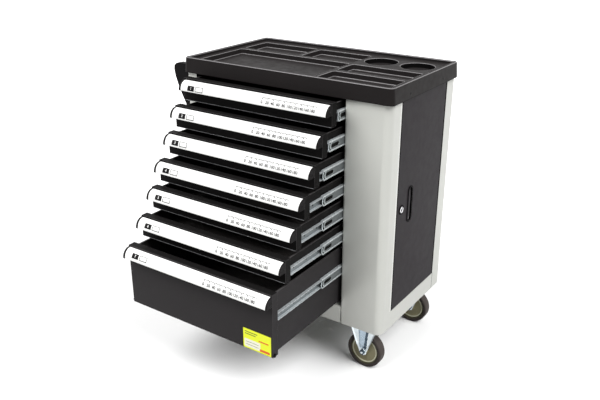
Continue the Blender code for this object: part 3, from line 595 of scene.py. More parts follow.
drawers = range(1, 8)
front_depth, slide_length = 25, 384
flange_half, flange_sheet = 11.5, 1.2
inner_flange = 10
web_near, web_far = 0.05, 1.1
shaded_hole_start = 26
shaded_hole_row = {"Count": 6, "Pitch": 64.0, "Radius": 2.6, "Top Radius": 2.4, "Height": 0.25}
hem_highlight_height, hem_highlight_out, hem_highlight_back, hem_highlight_drop, hem_highlight_inset = 1.6, 0.9, 0.6, 0.2, 4
mat_thickness, mat_gap, mat_front, mat_length = 2, 4, 3, 382
tray_raise, tray_foot = 5, 5.8


def prism(shape, outline, axis, start, end):
    """Adds a closed solid of one outline, drawn in the two other axes, drawn out along an axis."""
    rows = [put_ring(shape, outline, level, axis) for level in (start, end)]
    bridge(shape, rows)
    for row in rows:
        shape.faces.new(row)


def box(shape, low, high):
    (x0, y0, z0), (x1, y1, z1) = low, high
    prism(shape, [(x0, y0), (x1, y0), (x1, y1), (x0, y1)], "z", z0, z1)


def bar(name, low, high, material, body, edge=0, segments=2, slot="silver_paint"):
    """A straight bar between two corners, as a piece of its own."""
    shape = bmesh.new()
    box(shape, low, high)
    settle(name, shape, material, body, slot, edge=edge, segments=segments)


tray_inside = finish("tray_inside_paint", (62, 60, 60), (56, 54, 54), 0.45, gloss=0.06)
# A near black for holes and slots: painted shade in them.
hole_shade = finish("hole_shade", (18, 18, 20), (12, 12, 13), 0.6, gloss=0.1)
# A light grey for the strip along the shallow fronts' lower edges: a painted highlight on the fold.
hem_highlight_grey = finish("hem_highlight_grey", (126, 127, 129), (118, 119, 121), 0.3, metal=0.4)
mat_rubber = finish("mat_rubber", (62, 59, 58), (54, 52, 50), 0.7, gloss=0.2, grain=500, depth=0.03)
shaded_hole_heads = head_row("shaded_hole_heads", hole_shade)


def ribbed_mat():
    """A tree for a mat whose top rises and falls in ribs across it."""
    fixed = {"Length": float(mat_length), "Thickness": float(mat_thickness)}
    tree, size = start_tree("ribbed_mat", Width=500.0, Ribs=90, Rib_Height=0.8, **fixed)
    columns = maths(tree, "MULTIPLY_ADD", size["Ribs"], 4.0, 1.0)
    block = xyz(tree, size["Width"], size["Length"], size["Thickness"])
    slab = output(tree, "GeometryNodeMeshCube", block, columns, 2, 2)
    spot = add(tree, "ShaderNodeSeparateXYZ", output(tree, "GeometryNodeInputPosition")).outputs
    phase = maths(tree, "MULTIPLY", maths(tree, "DIVIDE", spot["X"], size["Width"]), size["Ribs"])
    wave = maths(tree, "COSINE", maths(tree, "MULTIPLY", phase, 2 * math.pi))
    lift = maths(tree, "MULTIPLY", wave, size["Rib Height"])
    on_top = maths(tree, "GREATER_THAN", spot["Z"], 0.0)
    shift = xyz(tree, 0.0, 0.0, lift)
    ribbed = output(tree, "GeometryNodeSetPosition", slab, Selection=on_top, Offset=shift)
    return end_tree(tree, ribbed, mat_rubber)


mat_tree = ribbed_mat()


def drawer_paint(low, high):
    """Which faces of a tray are zinc flanges beside it, which are inside it and which top its front; the
    front's top takes the black paint as painted shade.
    """
    flange_reach, tray_side = inner_flange - 2, inner_flange + 0.8

    def pick(spot, normal):
        beside = spot.x < low.x + flange_reach or spot.x > high.x - flange_reach
        if beside and spot.y > low.y + front_depth + 1:
            return 1
        if normal.z > 0.9 and spot.y < low.y + front_depth:
            return 3
        within = low.x + tray_side < spot.x < high.x - tray_side
        behind = low.y + front_depth - 0.5 < spot.y < high.y - 0.8
        return 2 * int(within and behind and spot.z > low.z + tray_foot)

    return pick


for n in drawers:
    node, body = f"drawer_{n}_tray", f"drawer_{n}"
    low, high = extent(node)
    # The shallow drawers are the same paint as the deep one; they take the black as painted shade under their
    # pulls.
    paint = drawer_grey if n == drawers[-1] else black_paint_and_shade
    finishes = [paint, zinc, tray_inside, black_paint_and_shade]
    # The tray's eased edges are in the light grey, a painted highlight, except beside the zinc flanges.
    eased(node, 0.45, finishes, "black_paint", drawer_paint(low, high), edge_highlight=painted_edge_highlight)
    level = middle(f"drawer_{n}_slide_left").z
    web_start, web_end = low.y + front_depth + 0.2, low.y + front_depth + slide_length
    half = flange_half - flange_sheet - 0.05
    # The web plates are in the darker zinc, painted shade between the flanges.
    webs = bmesh.new()
    for side, edge, outward in (("left", low.x, -1), ("right", high.x, 1)):
        wall = edge - outward * inner_flange
        near, far = sorted((wall + outward * web_near, wall + outward * web_far))
        box(webs, (near, web_start, level - half), (far, web_end, level + half))
        # Dark discs along the web stand for its rivet holes: painted shade.
        start = facing((wall + outward * web_far, web_start + shaded_hole_start, level), (0, 1, 0), (outward, 0, 0))
        grow(f"drawer_{n}_slide_rivets_{side}", shaded_hole_heads, shaded_hole_row, start, body, "zinc")
    settle(f"drawer_{n}_slide_webs", webs, zinc_web_shade, body, "zinc", edge=0.15)
    mat_width = high.x - low.x - 2 * (inner_flange + flange_sheet + mat_gap)
    mat_level = low.z + tray_raise + flange_sheet + mat_thickness / 2 + 0.1
    mat_spot = ((low.x + high.x) / 2, low.y + front_depth + mat_front + mat_length / 2, mat_level)
    where = Matrix.Translation(mat_spot)
    grow(f"drawer_{n}_mat", mat_tree, {"Width": mat_width}, where, body, "rubber", sharp=80)
    # A light strip along the lower edge of each shallow front is a painted highlight on its fold.
    if n < drawers[-1]:
        hem_highlight_low = (low.x + hem_highlight_inset, low.y - hem_highlight_out, low.z - hem_highlight_drop)
        hem_highlight_high = (high.x - hem_highlight_inset, low.y + hem_highlight_back, low.z + hem_highlight_height)
        bar(f"drawer_{n}_hem_highlight", hem_highlight_low, hem_highlight_high, hem_highlight_grey, body, edge=0.5, segments=3)

# Sliding middle members of the slides: zinc channels with a bead along the top and the bottom of the web and
# a round front end. A black rubber stop sits in the front end, and a long slot behind it takes its tongue.

member_half, member_tip, member_web, member_gap = 16.5, 11, 1.9, 1.5
bead_in, bead_edge, bead_round = 1.0, 12, 2
end_radius = 22
stop_rings = (18, 13.6)
rib_rings = ((21.6, 18.6), (13, 10))
slot_start, slot_length, slot_half = 17, 42, 6
bar_half = 10.6
bright_zinc = plating("bright_zinc", (230, 238, 240), (206, 216, 222), 0.22, 0.8, 18)
stop_rubber = finish("stop_rubber", (14, 14, 14), (10, 10, 10), 0.5, gloss=0.04)


def sector(centre, outer, inner, half):
    """Outline of a bent bar between two circles, its ends level with half above and below the middle."""
    reach_out, reach_in = (math.degrees(math.asin(min(half / radius, 1))) for radius in (outer, inner))
    back = arc(centre, inner, 180 + reach_in, 180 - reach_in, 8)
    return arc(centre, outer, 180 - reach_out, 180 + reach_out, 8) + back


def cut(name, target, cutters):
    """The target less the cutters, as an object in the frame."""
    for shape in (target, *cutters):
        into_frame(shape)
    whole, *tools = [as_piece(name, shape) for shape in (target, *cutters)]
    for tool in tools:
        slice_off = whole.modifiers.new("cut", "BOOLEAN")
        slice_off.operation = "DIFFERENCE"
        slice_off.object = tool
    flatten(whole)
    for tool in tools:
        bpy.data.objects.remove(tool, do_unlink=True)
    whole.data.shade_smooth()
    whole.data.set_sharp_from_angle(angle=math.radians(sharp_angle))
    return whole


def slide_member(node, inward):
    """The channel with its front end cut round, then the rubber stop and two raised ribs on its back."""
    name, body = node + "_member", body_of(node)
    low, high = extent(node)
    wall = (low.x if inward > 0 else high.x) - inward * member_gap
    level = (low.z + high.z) / 2

    def apart(*steps):
        """Places at some distances from the wall, the lowest first."""
        return sorted(wall + inward * step for step in steps)

    half = [
        (member_tip, flange_half + 0.3),
        (member_tip, member_half),
        *arc((bead_in + bead_round, member_half - bead_round), bead_round, 90, 180, 4),
        (bead_in, bead_edge),
        (member_web, bead_edge - 1),
    ]
    back = [(wall + inward * across, level + rise) for across, rise in half]
    back += [(x, 2 * level - z) for x, z in reversed(back)]
    web = wall + inward * (member_web + 1.1)
    front = [(web, level - flange_half - 0.3), (web, level + flange_half + 0.3)]
    channel, nose, slot, plug, ribs = (bmesh.new() for _ in range(5))
    prism(channel, back + front, "y", low.y, high.y)
    centre = (low.y + end_radius, level)
    outline = arc(centre, end_radius, 90, 270, 16)
    outline += [(low.y - 5, level - end_radius), (low.y - 5, level + end_radius)]
    prism(nose, outline, "x", wall - 20, wall + 20)
    first, last = low.y + slot_start + slot_half, low.y + slot_start + slot_length - slot_half
    outline = arc((first, level), slot_half, 90, 270, 6) + arc((last, level), slot_half, -90, 90, 6)
    prism(slot, outline, "x", *apart(0.2, 3.4))
    prism(plug, outline, "x", *apart(member_web + 0.4, member_web + 1.0))
    piece = cut(name, channel, [nose, slot])
    for material in (zinc, zinc_web_shade):
        piece.data.materials.append(material)
    # The web is in the darker zinc, painted shade between the beads.
    for face in piece.data.polygons:
        on_web = abs(measured(face.center).z - level) < bead_edge and abs(face.normal.x) > 0.9
        face.material_index = int(on_web)
    ease_edges(piece, 0.2, 2)
    carry(piece, body, "zinc", node)
    prism(plug, sector(centre, *stop_rings, bar_half), "x", *apart(0.7, member_web + 0.2))
    settle(name + "_stop", plug, stop_rubber, body, "rubber", edge=0.2)
    for outer, inner in rib_rings:
        bent = sector(centre, outer, inner, min(bar_half, inner))
        prism(ribs, bent, "x", *apart(bead_in + 0.1, member_web + 0.2))
    settle(name + "_ribs", ribs, bright_zinc, body, "zinc", edge=0.3)


for n in drawers:
    for side, inward in (("left", 1), ("right", -1)):
        slide_member(f"drawer_{n}_slide_{side}", inward)

# Pulls: each drawer has an extruded aluminium pull along the top of its front, white on the curved face and
# open below for the fingers, with a black cap screwed to each end. A plain scale is printed near the right
# end, and a black number tab beside a blank write-on field near the left end.

pull_reach, pull_rise, pull_wall = 26.3, 29.8, 2
pull_foot_above, pull_web, pull_lip = 0.8, 27, 6
pull_cap, left_lap, right_lap, cap_proud = 2, 6, 3.4, 0.8
cap_screw_back, cap_screw_up = 9, 10
cap_screw = {"Count": 1, "Radius": 3.0, "Top Radius": 2.2, "Height": 0.9}
tab_span, field_span, field_line = (87, 115), (119, 151), 2.4
tab_top, tab_depth, tab_drift = 50, 34, 2.1
scale_start, scale_pitch, scale_ticks, long_every = 384, 5, 39, 4
scale_top, number_angle, number_pitch = 36, 68, 20
print_depth, number_height, figure_height = 0.1, 8, 9.2
letter_size, letter_weight, letter_half, letter_lift = 1.4, 0.02, 0.2, 0.15
pull_white = finish("pull_white", (246, 246, 244), (242, 242, 240), 0.3, depth=0.003, swing=0.03)
cap_black = finish("cap_black", (26, 24, 25), (20, 18, 19), 0.4, gloss=0.06)
print_black = finish("print_black", (16, 15, 16), (12, 11, 12), 0.4, gloss=0.1, depth=0.002)
print_grey = finish("print_grey", (58, 58, 58), (52, 52, 52), 0.4, depth=0.002)


def on_pull(back, foot, lift, angle):
    """A place in y and z above the pull's curved face by lift, at an angle in radians from its top."""
    return back - (pull_reach + lift) * math.sin(angle), foot + (pull_rise + lift) * math.cos(angle)


def pull_arc(back, foot, lift, start, end, steps=8):
    """Points on the pull's curved face, or above it by lift, between two angles in degrees."""
    angles = (math.radians(start + (end - start) * i / steps) for i in range(steps + 1))
    return [on_pull(back, foot, lift, angle) for angle in angles]


def wrapped(shape, back, foot, span, angles, out):
    """A thin plate bent round the pull's face, between two places along it and two angles."""
    under = pull_arc(back, foot, -print_depth, *angles)
    prism(shape, pull_arc(back, foot, out, *angles) + under[::-1], "x", *span)


def scale_ticks_tree():
    """A tree for a printed scale: thin ticks, some of them longer, bent round the pull's face."""
    curve = {"Back": 0.0, "Foot": 0.0, "Reach": pull_reach, "Rise": pull_rise}
    tree, size = start_tree(
        "pull_scale",
        Count=scale_ticks,
        Pitch=float(scale_pitch),
        Tick_Width=3.3,
        Tick_Length=4.6,
        Thickness=0.3,
        Long_Every=float(long_every),
        Long_Share=1.7,
        Start=math.radians(scale_top) * pull_rise,
        **curve,
    )
    step = xyz(tree, size["Pitch"])
    row = output(tree, "GeometryNodeMeshLine", Count=size["Count"], Offset=step)
    block = xyz(tree, size["Tick Width"], size["Tick Length"], size["Thickness"])
    tick = output(tree, "GeometryNodeMeshCube", block, 2, 5, 2)
    drop = xyz(tree, 0.0, maths(tree, "MULTIPLY", size["Tick Length"], 0.5))
    hung = output(tree, "GeometryNodeTransform", tick, Translation=drop)
    number = output(tree, "GeometryNodeInputIndex")
    is_long = maths(tree, "LESS_THAN", maths(tree, "MODULO", number, size["Long Every"]), 0.5)
    stretch = output(tree, "ShaderNodeMapRange", is_long, To_Min=1.0, To_Max=size["Long Share"])
    scale = xyz(tree, 1.0, stretch, 1.0)
    ticks = output(tree, "GeometryNodeInstanceOnPoints", row, Instance=hung, Scale=scale)
    flat = output(tree, "GeometryNodeRealizeInstances", ticks)
    spot = add(tree, "ShaderNodeSeparateXYZ", output(tree, "GeometryNodeInputPosition")).outputs
    angle = maths(tree, "DIVIDE", maths(tree, "ADD", spot["Y"], size["Start"]), size["Rise"])
    out, up = (
        maths(tree, "MULTIPLY", maths(tree, "ADD", spot["Z"], size[radius]), maths(tree, wave, angle))
        for radius, wave in (("Reach", "SINE"), ("Rise", "COSINE"))
    )
    y, z = maths(tree, "SUBTRACT", size["Back"], out), maths(tree, "ADD", size["Foot"], up)
    bent = xyz(tree, spot["X"], y, z)
    return end_tree(tree, output(tree, "GeometryNodeSetPosition", flat, Position=bent), print_grey)


def print_figure(shape, words, height, back, foot, x, angle):
    """Adds a figure in plain lettering, bent round the pull's face, its middle at x and at an angle."""
    curve = bpy.data.curves.new("figure", "FONT")
    curve.body = words
    curve.size = height * letter_size
    curve.extrude = letter_half
    curve.offset = height * letter_weight
    curve.resolution_u = 3
    curve.align_x = curve.align_y = "CENTER"
    holder = bpy.data.objects.new("figure", curve)
    scene.collection.objects.link(holder)
    graph = bpy.context.evaluated_depsgraph_get()
    mesh = bpy.data.meshes.new_from_object(holder.evaluated_get(graph))
    for vert in mesh.vertices:
        across, up, lift = vert.co
        round_to = math.radians(angle) - up / pull_rise
        vert.co = (x + across, *on_pull(back, foot, lift + letter_lift, round_to))
    shape.from_mesh(mesh)
    bpy.data.objects.remove(holder, do_unlink=True)
    bpy.data.meshes.remove(mesh)


scale_tree = scale_ticks_tree()
for n in drawers:
    node, body = f"drawer_{n}_pull", f"drawer_{n}"
    low, high = extent(node)
    back, foot = high.y, low.z + pull_foot_above
    inner_back, crown, lip = back - pull_wall, foot + pull_rise, back - pull_reach + pull_lip
    pull, caps, tab, field, figure, figures = (bmesh.new() for _ in range(6))
    outline = [(back, crown - pull_web), *pull_arc(back, foot, 0, 0, 90, 24), (lip, foot), (lip, foot + 2)]
    outline += pull_arc(back, foot, -pull_wall, 2, 86, 22)[::-1]
    outline += [(inner_back, crown - pull_wall - 0.2), (inner_back, crown - pull_web)]
    prism(pull, outline, "x", low.x + pull_cap - 0.5, high.x - pull_cap + 0.5)
    settle(node + "_strip", pull, pull_white, body, "aluminium", node, edge=0.3)
    cap = pull_arc(back, foot, cap_proud, 0, 90, 24)
    cap += [(back - pull_reach - cap_proud, foot - cap_proud), (back, foot - cap_proud)]
    prism(caps, cap, "x", low.x, low.x + pull_cap + left_lap)
    prism(caps, cap, "x", high.x - pull_cap - right_lap, high.x)
    settle(node + "_caps", caps, cap_black, body, "black_plastic", edge=0.4)
    for side, edge, outward in (("left", low.x, -1), ("right", high.x, 1)):
        start = facing((edge, back - cap_screw_back, foot + cap_screw_up), (0, 1, 0), (outward, 0, 0))
        grow(f"{node}_screw_{side}", black_heads, cap_screw, start, body, "black_plastic")
    a0 = tab_top - tab_drift * (n - 1)
    a1 = a0 + tab_depth
    tab_angles = (a0, a1)
    wrapped(tab, back, foot, tab_span, tab_angles, 0.12)
    settle(node + "_tab", tab, print_black, body, "black_plastic")
    x0, x1 = field_span
    line_angle = math.degrees(field_line / pull_rise)
    for span, angles in (
        (field_span, (a0, a0 + line_angle)),
        (field_span, (a1 - line_angle, a1)),
        ((x0, x0 + field_line), tab_angles),
        ((x1 - field_line, x1), tab_angles),
    ):
        wrapped(field, back, foot, span, angles, 0.1)
    settle(node + "_field", field, print_grey, body, "aluminium")
    print_figure(figure, str(n), number_height, back, foot, sum(tab_span) / 2, sum(tab_angles) / 2)
    settle(node + "_number", figure, pull_white, body, "aluminium")
    where = Matrix.Translation((scale_start, 0, 0))
    grow(node + "_scale", scale_tree, {"Back": back, "Foot": foot}, where, body, "aluminium")
    for reading in range(0, (scale_ticks - 1) * scale_pitch, number_pitch):
        x = scale_start + reading
        print_figure(figures, str(reading), figure_height, back, foot, x, number_angle)
    settle(node + "_figures", figures, print_black, body, "aluminium")

# Deep drawer's trim: a yellow card with a plain write-on panel and ruled lines on the front's lower right
# corner, and a black rubber buffer behind each lower corner of the front.

card_span, card_height, card_margin = (509, 610), 66, 1
card_edge = [((0, 0), (card_span[1] - card_span[0], card_height), 2)]
card_rules = [
    ((6, 55), (52, 57.5), 1),
    ((6, 48), (46, 50.5), 1),
    ((9, 13), (56, 14.2), 0.5),
    ((9, 22), (56, 23.2), 0.5),
]
buffer_radius, buffer_inset = 6, 1.3
card_yellow = finish("card_yellow", (240, 250, 20), (236, 246, 12), 0.35, depth=0.002, swing=0.03)
card_white = finish("card_white", (248, 246, 226), (242, 240, 218), 0.4, depth=0.002)
card_line = finish("card_line", (70, 84, 20), (60, 74, 16), 0.5, depth=0.002)
card_orange = finish("card_orange", (222, 96, 10), (214, 88, 6), 0.45, depth=0.002)
low, high = extent("drawer_7_tray")
face, card_foot = low.y, low.z + card_margin


def on_card(name, material, plates, out):
    """Thin plates on the drawer's front, given as corners across and up from the card's lower left."""
    shape = bmesh.new()
    for (x0, z0), (x1, z1), radius in plates:
        corners = ((card_span[0] + x0, card_foot + z0), (card_span[0] + x1, card_foot + z1))
        prism(shape, rounded(*corners, radius, 4), "y", face - out, face + 0.1)
    settle(name, shape, material, "drawer_7", "aluminium")


on_card("card", card_yellow, card_edge, 0.2)
on_card("card_panel", card_white, [((4, 5), (62, 32), 3)], 0.25)
on_card("card_lines", card_line, card_rules, 0.3)
on_card("card_bar", card_orange, [((56, 36), (92, 40), 1.5), ((60, 5), (96, 13), 1.5)], 0.3)
buffers = bmesh.new()
for x, step in ((low.x + buffer_inset, -1), (high.x - buffer_inset, 1)):
    ends = sorted((x - step * 3, x + step * 3.6))
    prism(buffers, circle((face + 7, low.z + buffer_radius), buffer_radius, 24), "x", *ends)
settle("drawer_7_buffers", buffers, stop_rubber, "drawer_7", "rubber", edge=1)

# Side door: a hollow dark leaf with a moulded pull let into it and a chromed cam lock in a black bezel. It
# turns on a zinc rod that stands in the sill. Black strips down both of its edges are painted shade in the
# gaps round it, a light strip down the post beside it is a painted highlight on the post's edge, and a black
# strip in the joint where the rear post meets the rail is painted shade.

lock_y, lock_z, lock_radius = 105.5, 570.5, 12
key_slot, key_slot_width, key_turn = 21, 5, 55
bezel_width, bezel_out = 4, 1.2
lock_ring, lock_plug, lock_play = 10, 5, 0.3
rings_out, plug_out, keyway_out, lock_sunk = 0.07, 0.06, 0.05, 0.4
cup_y, cup_z, cup_half, cup_tall = 163, 571, 11.9, 57.4
lip_deep, lip_wall, lip_out, lip_proud = 3.5, 1.4, 1.2, 1.9
gap_shade_width, strip_out, strip_in, post_highlight_width = 4, 0.12, 0.5, 6
post_highlight_gap, joint_near, joint_far, joint_out = 2, 1.4, 3.2, 0.04
lock_face = extent("door_lock_cam")[1].x
# A near white for the post's edge beside the door: a painted highlight.
post_edge_highlight = finish("post_edge_highlight", (246, 246, 242), (240, 240, 236), 0.3)
chrome = finish("chrome", (232, 232, 234), (222, 222, 226), 0.14, metal=1.0, depth=0.001)
# The cup's inside is grey, lightened against the shade in it: partly its own colour, partly painted light.
cup_grey_lightened = finish("cup_grey_lightened", (150, 148, 150), (142, 140, 142), 0.5, gloss=0.06)
rim_black = finish("rim_black", (9, 8, 9), (7, 6, 7), 0.5, gloss=0.02)


def in_cup(spot, _):
    return int(spot.x < side_face - 1)


# The door's eased edges are in the light grey, a painted highlight.
eased("side_door_panel", 0.6, dark_grey, "dark_paint", edge_highlight=painted_edge_highlight)
# Inside the cup the pull is the lightened grey, partly painted light against the cup's shade.
eased("side_door_pull", 0.5, [rim_black, cup_grey_lightened], "black_plastic", in_cup, segments=3)
eased("door_lock_cam", 0.3, chrome, "zinc")
eased("side_door_hinge_rod", 0.3, zinc, "zinc")


def hoop(shape, outside, inside, start, end):
    """A ring between two outlines in y and z, from one x to another."""
    corners = ((outside, start), (outside, end), (inside, end), (inside, start))
    rings = [put_ring(shape, outline, x, "x") for outline, x in corners]
    bridge(shape, [*rings, rings[0]])


def lock_circle(radius):
    return circle((lock_y, lock_z), radius, 48)


def cup_outline(inset):
    half, tall = cup_half - inset, cup_tall - inset
    return rounded((cup_y - half, cup_z - tall), (cup_y + half, cup_z + tall), half - 0.01)


lip, bezel, rings, keyway, trim = (bmesh.new() for _ in range(5))
hoop(lip, cup_outline(-lip_out), cup_outline(lip_wall), side_face - lip_deep, side_face + lip_proud)
settle("side_door_pull_lip", lip, rim_black, "side_door", "black_plastic", edge=0.3)
bezel_edge, bezel_hole = lock_circle(lock_radius + bezel_width), lock_circle(lock_radius + 0.2)
hoop(bezel, bezel_edge, bezel_hole, side_face - 0.3, side_face + bezel_out)
settle("door_lock_bezel", bezel, rim_black, "side_door", "black_plastic", edge=0.4)
lock_back = lock_face - lock_sunk
lock_edge = lock_circle(lock_radius + lock_play)
# The black ring round the lock's head and the black plug within it are painted dark reflections in the
# chrome.
hoop(rings, lock_edge, lock_circle(lock_ring), lock_back, lock_face + rings_out)
prism(rings, lock_circle(lock_plug), "x", lock_back, lock_face + plug_out)
settle("door_lock_rings", rings, rim_black, "door_lock", "black_plastic")
key_half, key_side = key_slot / 2, key_slot_width / 2
# The keyway is a dark slot standing a hair proud of the head: painted shade in it.
box(keyway, (lock_back, -key_half, -key_side), (lock_face + keyway_out, key_half, key_side))
bmesh.ops.rotate(keyway, verts=keyway.verts, matrix=Matrix.Rotation(math.radians(key_turn), 3, "X"))
bmesh.ops.translate(keyway, verts=keyway.verts, vec=(0, lock_y, lock_z))
settle("door_lock_keyway", keyway, hole_shade, "door_lock", "zinc")
# Black strips down the door's edges are painted shade in the gaps round it.
strip_back, strip_front = side_face - strip_in, side_face + strip_out
for y0, y1 in ((door_low.y, door_low.y + gap_shade_width), (door_high.y - gap_shade_width, door_high.y)):
    box(trim, (strip_back, y0, door_low.z), (strip_front, y1, door_high.z))
settle("side_door_gap_shade", trim, rim_black, "side_door", "black_plastic", edge=0.05)
# A light strip down the post beside the door is a painted highlight on its edge.
edge_y = door_low.y - post_highlight_gap
post_highlight = ((strip_back, edge_y - post_highlight_width, door_low.z), (strip_front, edge_y - 0.2, door_high.z))
bar("side_post_highlight", *post_highlight, post_edge_highlight, "root", edge=0.05)
# A black strip in the joint between the rear post and the rail is painted shade.
joint_foot, joint_top = extent("base_pan")[0].z + 1, door_low.z - 1
joint_low = (strip_back, door_high.y + joint_near, joint_foot)
joint_high = (side_face + joint_out, door_high.y + joint_far, joint_top)
bar("side_rail_joint_shade", joint_low, joint_high, shadow_black, "root", slot="black_plastic")

# Push handle: two moulded horns on the left posts with a painted tube between them. The horns are black
# plastic with well-rounded edges, and the tube is black painted steel.

horn_black = finish("horn_black", (15, 14, 15), (11, 10, 11), 0.45, gloss=0.05)
for end in ("front", "rear"):
    eased(f"handle_bracket_{end}", 2.0, horn_black, "black_plastic", segments=4)
eased("handle_tube", 0.3, black_paint_and_shade, "black_paint")

# Fixed castors: a pressed zinc bracket with a wide rib down each leg and curled edges, an axle bolt with a
# nut, and four bolts up into the base.

wheel_radius = 62.5
plate_low, plate_high = 162.2, 164.7
plate_half, plate_half_depth, plate_corner = 52, 38, 6
leg_out, leg_sheet, leg_foot = 24.5, 2.5, 13.5
leg_columns, leg_rows, leg_fade = 40, 36, 14
rib_top, rib_foot, rib_proud, rib_shoulder = 17, 9, 3, 5
curl_width, curl_out = 5, 2.6
nut_radius, nut_out, axle_radius, washer = 9.5, 31.5, 4, 1.2
bolt_sizes = {"Count": 2, "Radius": 5.5, "Top Radius": 5.0, "Height": 4.0, "Sides": 6}
castor_x = middle("castor_front_right_bracket").x
# A bluish copy of the zinc for the legs' ribs and a dark one for the ribs' right shoulders: painted
# reflections. The dark one also serves for the nuts.
zinc_rib_reflection = plating("zinc_rib_reflection", (186, 202, 214), (170, 188, 204), 0.24, 0.75, 18)
deep_zinc = finish("deep_zinc", (70, 86, 98), (56, 70, 82), 0.3, metal=0.6, cloud=18)
zinc_heads = head_row("zinc_heads", zinc)


def smooth(value):
    """Rises gently from 0 to 1 as the value does."""
    value = min(max(value, 0), 1)
    return value * value * (3 - 2 * value)


def rib_width(share):
    return rib_foot + (rib_top - rib_foot) * max(share, 0)


def rim(grid):
    """The points round the outside of a grid, in order."""
    right, left = [row[-1] for row in grid[1:]], [row[0] for row in grid[-2:0:-1]]
    return grid[0] + right + grid[-1][-2::-1] + left


def pressed_leg(shape, y, side):
    """A leg as a bent sheet: its outline tapers to a round foot, a rib stands out and the edges curl."""
    top, foot = plate_high - 0.5, wheel_radius - leg_foot + 0.1
    outer, inner = [], []
    for grid, depth in ((outer, 0), (inner, leg_sheet)):
        for row in range(leg_rows + 1):
            z = top + (foot - top) * row / leg_rows
            share = (z - wheel_radius) / (top - wheel_radius)
            if share > 0:
                width = leg_foot + (plate_half - leg_foot) * share
            else:
                width = math.sqrt(max(leg_foot**2 - (wheel_radius - z) ** 2, 0.04))
            fade = smooth((z - wheel_radius - leg_foot) / leg_fade)
            points = []
            for column in range(leg_columns + 1):
                across = width * (2 * column / leg_columns - 1)
                within_rib = rib_width(share) + rib_shoulder / 2 - abs(across)
                raised = rib_proud * smooth(within_rib / rib_shoulder)
                curl = curl_out * smooth((abs(across) - width + curl_width) / curl_width)
                out = leg_out + (raised + curl) * fade - depth
                points.append(shape.verts.new((castor_x + across, y + side * out, z)))
            grid.append(points)
        for one, other in zip(grid, grid[1:]):
            for i in range(leg_columns):
                sheet = shape.faces.new((one[i], one[i + 1], other[i + 1], other[i]))
                height = one[i].co.z - wheel_radius
                rib = rib_width(height / (top - wheel_radius))
                across = (one[i].co.x + other[i + 1].co.x) / 2 - castor_x
                # The rib takes the bluish zinc and its right shoulder the dark zinc: painted reflections on
                # one pressed sheet.
                if height > leg_foot and abs(across) < rib + rib_shoulder * 0.6:
                    sheet.material_index = 2 if across > rib - rib_shoulder else 1
    bridge(shape, [rim(outer), rim(inner)])


def plate_bolts(node, x, y, pitch, out):
    """Four hexagon bolts up through a castor's plate, two in front and two behind."""
    for row, side in (("front", -1), ("rear", 1)):
        start = facing((x - pitch / 2, y + side * out, plate_low), (1, 0, 0), (0, 0, -1))
        grow(f"{node}_bolts_{row}", zinc_heads, {"Pitch": pitch, **bolt_sizes}, start, "root", "zinc")


for row in ("front", "rear"):
    node = f"castor_{row}_right_bracket"
    y = middle(node).y
    centre = (castor_x, wheel_radius)
    bracket, axle, nuts = (bmesh.new() for _ in range(3))
    for side in (-1, 1):
        pressed_leg(bracket, y, side)
    corners = [(castor_x + end * plate_half, y + end * plate_half_depth) for end in (-1, 1)]
    prism(bracket, rounded(*corners, plate_corner), "z", plate_low, plate_high)
    finishes = [bright_zinc, zinc_rib_reflection, deep_zinc]
    settle(node + "_pressing", bracket, finishes, "root", "zinc", node, sharp=50)
    prism(axle, circle(centre, axle_radius, 24), "y", y - nut_out - 2, y + nut_out + 2)
    for side in (-1, 1):
        near, far = sorted((y + side * (leg_out + washer - 0.1), y + side * nut_out))
        prism(nuts, circle(centre, nut_radius, 6), "y", near, far)
        near, far = sorted((y + side * leg_out, y + side * (leg_out + washer)))
        prism(axle, circle(centre, nut_radius + 1.5, 32), "y", near, far)
    settle(node + "_axle", axle, bright_zinc, "root", "zinc", edge=0.7)
    settle(node + "_nuts", nuts, deep_zinc, "root", "zinc", edge=0.7)
    plate_bolts(node, castor_x, y, 76.0, 32)

# Swivel castors: zinc top plate with its ball race, a fork, and a black brake pedal on a pin through the
# fork. Four bolts hold each plate to the base.

for row in ("front", "rear"):
    node = f"castor_{row}_left_plate"
    eased(f"castor_{row}_left_fork", 0.6, bright_zinc, "zinc")
    eased(node, 0.5, zinc, "zinc")
    eased(f"castor_{row}_left_brake_pedal", 1.0, cap_black, "black_plastic", segments=3)
    plate_bolts(node, *middle(node).xy, 86.0, 30)

# Wheels: an olive moulded hub with a raised ring and shallow spokes on each face, and a brown-grey tread cast
# round it.

hub_radius, hub_half, hub_face, hub_steps = 50, 15, 11, 72
bore, boss_radius, boss_half = 5.3, 13, 21.7
ring_radius, ring_half, ring_proud = 44, 2, 1.2
tread_base = hub_radius + 0.3
olive = finish("olive_hub", (160, 154, 122), (146, 140, 110), 0.42, gloss=0.25)
olive_deep = finish("olive_deep", (92, 90, 68), (80, 78, 58), 0.45, gloss=0.15)
# A pale olive for the hub's raised ring: a painted highlight.
olive_ring_highlight = finish("olive_ring_highlight", (236, 234, 206), (228, 226, 196), 0.35, gloss=0.4)
tread_rubber = finish("tread_rubber", (76, 70, 67), (68, 62, 60), 0.6, gloss=0.1, grain=350, depth=0.02)


